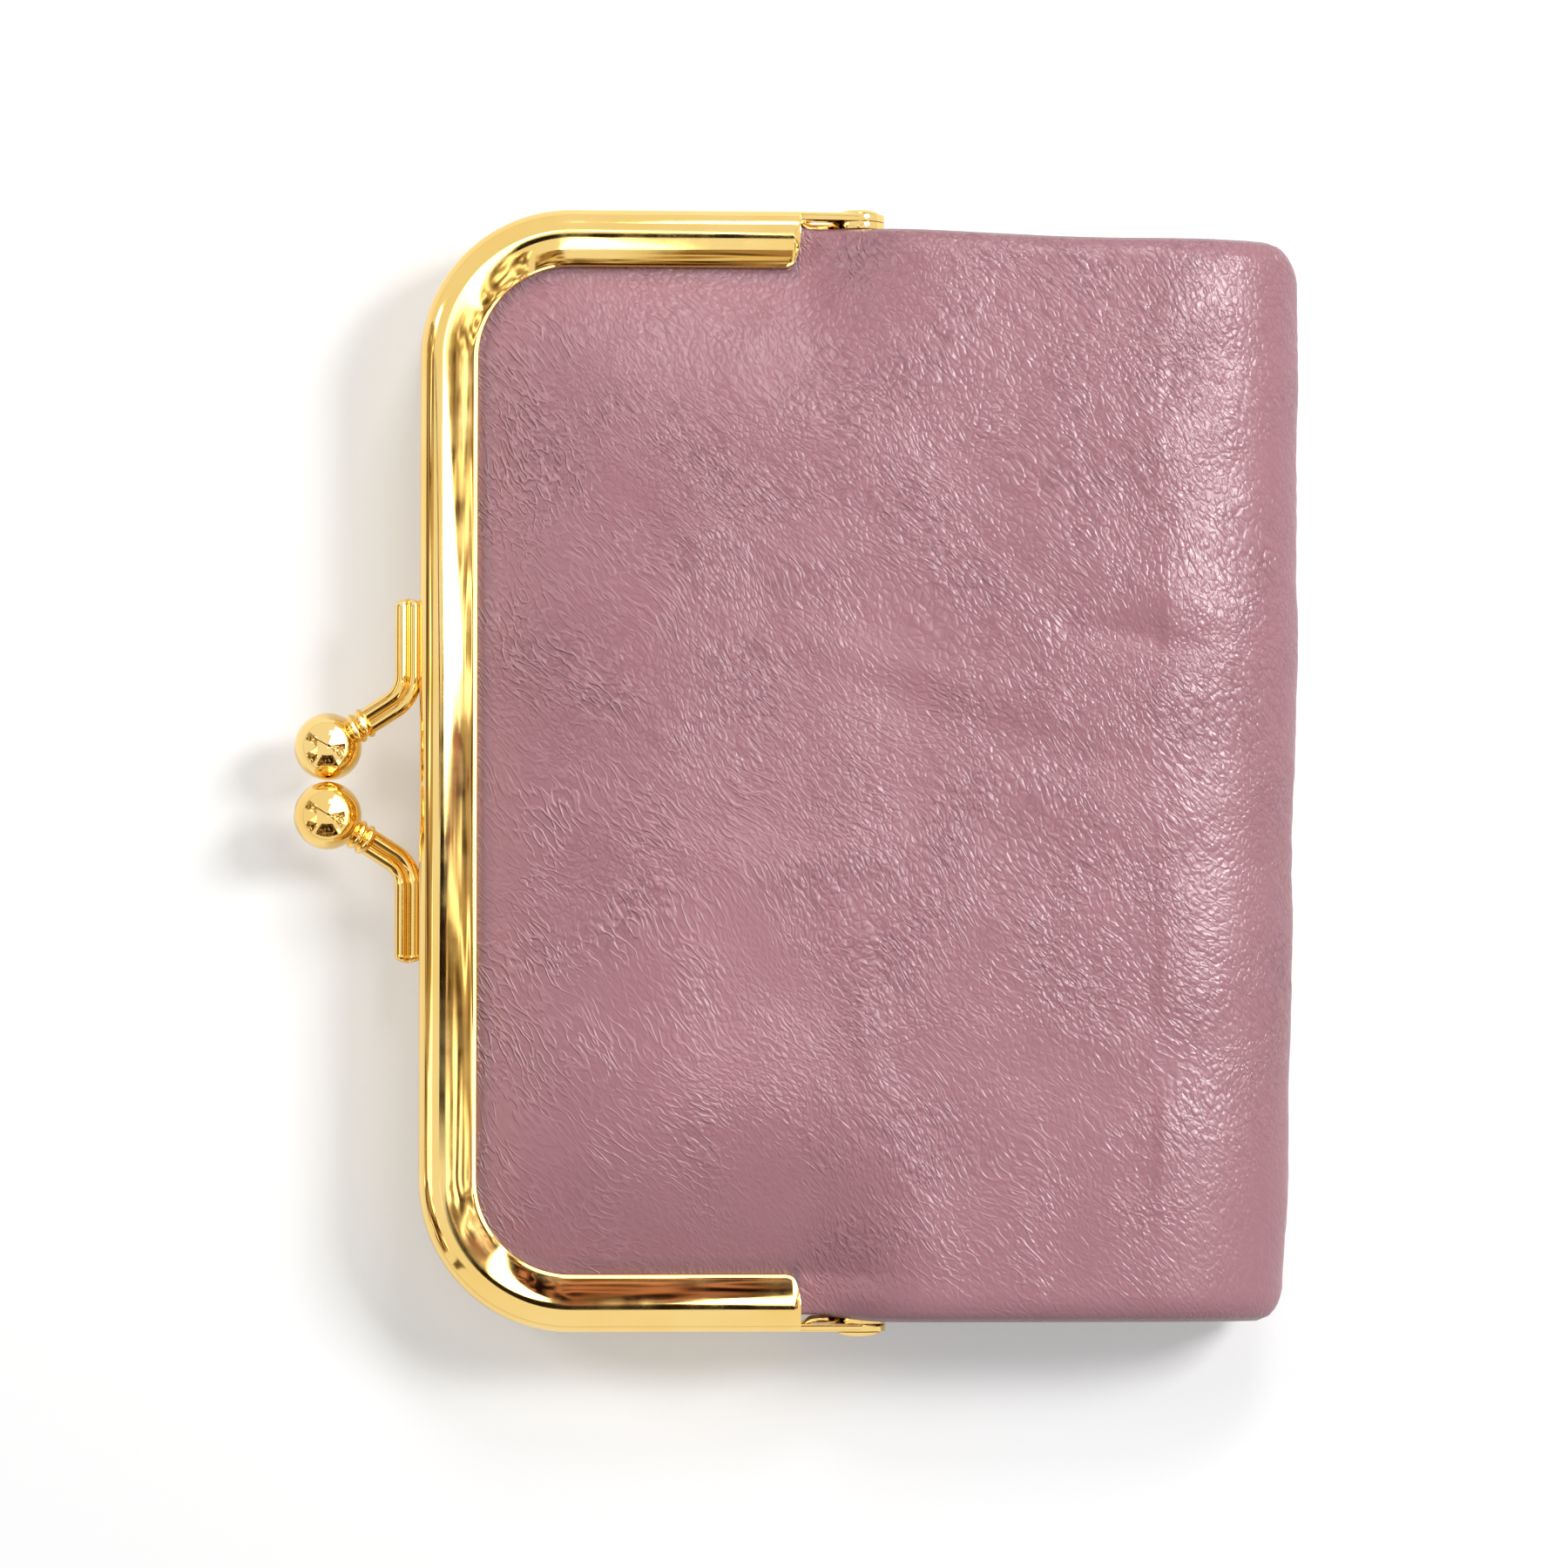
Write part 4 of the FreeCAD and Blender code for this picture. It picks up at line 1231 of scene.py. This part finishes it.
def cardFinish(name, origin, way, tones, streak, seed, fade):
    # wavy bands of three tones; clear from behind, for light that other pieces have scattered,
    # and for rays whose length doesn't fit the rim that the card is meant for
    material, tree, out = bareMaterial(name)
    coords = tree.nodes.new("ShaderNodeTexCoord").outputs
    stretched = vectorNode(tree, "MULTIPLY", coords["UV"], (*streak, 1))
    shifted = vectorNode(tree, "ADD", stretched, (seed * 7.3, seed * 3.1, 0))
    swirl = addNode(tree, "ShaderNodeTexNoise", {"noise_dimensions": "2D"}, {
        "Vector": shifted, "Scale": 1.0, "Detail": 2.0, "Roughness": 0.45, "Distortion": 1.6}).outputs[0]
    colour = mixColour(tree, rangeNode(tree, swirl, 0.36, 0.50, 0.0, 1.0), tones[0], tones[1])
    colour = mixColour(tree, rangeNode(tree, swirl, 0.52, 0.66, 0.0, 1.0), colour, tones[2])
    if fade:
        across = addNode(tree, "ShaderNodeSeparateXYZ", {}, {0: coords["UV"]}).outputs[0]
        colour = mixColour(tree, rangeNode(tree, across, *fade, 0.0, 1.0), tones[0], colour)
    # a card square to an axis serves a straight rim, a diagonal one a single spot
    square = min(abs(way)) < 0.01
    fromRim = vectorNode(tree, "SUBTRACT", coords["Object"], (origin[0] * mm, origin[1] * mm, topZ * mm))
    if square:
        fromRim = vectorNode(tree, "MULTIPLY", fromRim, (*abs(way), 1.0))
    rimLength = addNode(tree, "ShaderNodeVectorMath", {"operation": "LENGTH"}, {0: fromRim}).outputs["Value"]
    path = tree.nodes.new("ShaderNodeLightPath").outputs
    shortfall = mathNode(tree, "SUBTRACT", rimLength, path["Ray Length"])
    if square:
        misfit = mathNode(tree, "GREATER_THAN", shortfall, stage["rimRoom"] * mm)
    else:
        misfit = mathNode(tree, "GREATER_THAN", mathNode(tree, "ABSOLUTE", shortfall), stage["spotRoom"] * mm)
    behind = tree.nodes.new("ShaderNodeNewGeometry").outputs["Backfacing"]
    unseen = mathNode(tree, "MAXIMUM", behind, misfit)
    unseen = mathNode(tree, "MAXIMUM", unseen, mathNode(tree, "GREATER_THAN", path["Diffuse Depth"], 0.5))
    glow = addNode(tree, "ShaderNodeEmission", {}, {"Color": colour})
    clear = tree.nodes.new("ShaderNodeBsdfTransparent")
    both = addNode(tree, "ShaderNodeMixShader", {}, {0: unseen, 1: glow.outputs[0], 2: clear.outputs[0]})
    feed(tree, out, {"Surface": both.outputs[0]})
    material.cycles.emission_sampling = "NONE"
    return material


def hideFromCamera(obj):
    # cards are seen only in the metal's reflections
    obj.visible_camera = False
    obj.visible_diffuse = False
    obj.visible_shadow = False
    obj.visible_transmission = False


def studioCard(name, origin, azimuth, distance, reach, zenith, tones, streak, seed, fade=None, slant=0.0):
    # upright card facing the point at origin, from one zenith angle to another; slant widens it lower down
    a = math.radians(azimuth)
    way, across = np.array([math.cos(a), math.sin(a)]), np.array([-math.sin(a), math.cos(a)])
    angles = np.linspace(zenith[0], zenith[1], 25)
    points, places = [], []
    for angle in angles:
        for side in (reach[0] - slant * (angle - zenith[0]), reach[1]):
            spot = np.array(origin) + way * distance + across * side
            points.append((spot[0], spot[1], topZ + distance / math.tan(math.radians(angle))))
            places.append((side, angle))
    faces = [(2 * i, 2 * i + 2, 2 * i + 3, 2 * i + 1) for i in range(len(angles) - 1)]
    card = makePiece(name, points, faces, cardFinish(name, origin, way, tones, streak, seed, fade), 180)
    layer = card.data.uv_layers.new(name="UVMap")
    for loop in card.data.loops:
        layer.data[loop.index].uv = places[loop.vertex_index]
    normal = card.data.polygons[0].normal
    if normal.x * way[0] + normal.y * way[1] > 0:
        card.data.flip_normals()
    hideFromCamera(card)


def skyCard():
    # dark card overhead, which the lower rims mirror as a thin dark line
    outline = [(-60, -34), (70, -34), (70, 30), (30, 44), (-20, 40), (-60, 0)]
    height = 660
    material, tree, out = bareMaterial("skyCard")
    glow = addNode(tree, "ShaderNodeEmission", {}, {"Color": (0.02, 0.014, 0.01, 1)})
    feed(tree, out, {"Surface": glow.outputs[0]})
    material.cycles.emission_sampling = "NONE"
    points = [(x, y, height) for x, y in outline]
    hideFromCamera(makePiece("skyCard", points, [tuple(range(len(outline)))], material, 180))


def makeCamera():
    camera = bpy.data.cameras.new("camera")
    camera.lens = camera.sensor_width * stage["distance"] / stage["fieldWidth"]
    camera.clip_start, camera.clip_end = 0.01, 50
    obj = addObject("camera", camera)
    tx, ty = (math.tan(math.radians(t)) for t in stage["tilt"])
    way = Vector((tx, ty, 1)).normalized()
    right = Vector((0, 1, 0)).cross(way).normalized()
    up = way.cross(right)
    turn = Matrix((right, up, way)).transposed().to_4x4()
    place = (Vector(stage["target"]) + way * stage["distance"]) * mm
    obj.matrix_world = Matrix.Translation(place) @ turn
    scene.camera = obj


makeFloor()
makeWorld()
softLamp("keyLamp", 40, 25, 720, (190, 240), 3.35)
softLamp("topLamp", 47, 78, 600, (160, 160), 0.75)
softLamp("leftLamp", 56, 158, 620, (180, 180), 0.7)
copperCard = ((0.010, 0.005, 0.005), (0.17, 0.058, 0.045), (0.58, 0.27, 0.23))
umberCard = ((0.03, 0.015, 0.006), (0.22, 0.12, 0.05), (0.75, 0.60, 0.38))
goldenCard = ((0.09, 0.045, 0.018), (0.50, 0.38, 0.24), (2.6, 2.5, 2.2))
brownCard = ((0.03, 0.018, 0.008), (0.40, 0.26, 0.13), (0.85, 0.72, 0.48))
soleCard = ((0.010, 0.005, 0.003), (0.07, 0.035, 0.016), (0.50, 0.36, 0.20))
facetCard = ((3.4, 3.4, 3.4), (3.6, 3.6, 3.6), (3.8, 3.8, 3.8))
whiteCard = ((5.0, 5.0, 5.0), (5.5, 5.5, 5.5), (6.0, 6.0, 6.0))
studioCard("copperCard", (0, -52), 90, 112, (-90, 150), (5, 60), copperCard, (0.050, 0.075), 1, (-12, 2))
studioCard("goldenCard", (-33, 0), 0, 105, (-110, 110), (11, 60), goldenCard, (0.035, 0.050), 2)
studioCard("brownCard", (0, 52), -90, 112, (-4, 30), (26, 60), brownCard, (0.030, 0.06), 3, slant=0.35)
studioCard("sideCard", (-36, 0), 180, 120, (-90, 120), (40, 88), goldenCard, (0.02, 0.04), 4)
# low cards for the flanges' inner facets; hide that lies nearer doesn't mirror them
for azimuth, facetAt in ((-90, (0, flangeY)), (0, (flangeX, 0)), (90, (0, -flangeY))):
    studioCard("edgeCard", facetAt, azimuth, 300, (-160, 160), (61, 87), facetCard, (0.01, 0.01), 5)
studioCard("bandCard", (0, 52), -90, 112, (-60, -1), (5, 26), whiteCard, (0.01, 0.01), 6)
studioCard("dimCard", (0, 52), -90, 114, (-24, -14), (42, 60), umberCard, (0.01, 0.01), 9)
studioCard("glintCard", (-45, -1), 40, 80, (-42, 46), (8, 78), whiteCard, (0.01, 0.01), 8)
studioCard("cornerCard", (-30, -48), 45, 110, (-75, 75), (8, 60), copperCard, (0.050, 0.075), 10)
studioCard("ballCard", (-45, -8), -90, 100, (-70, 60), (30, 80), soleCard, (0.030, 0.045), 7)
skyCard()
makeCamera()
scene.view_settings.view_transform = "Standard"
print("stage made")
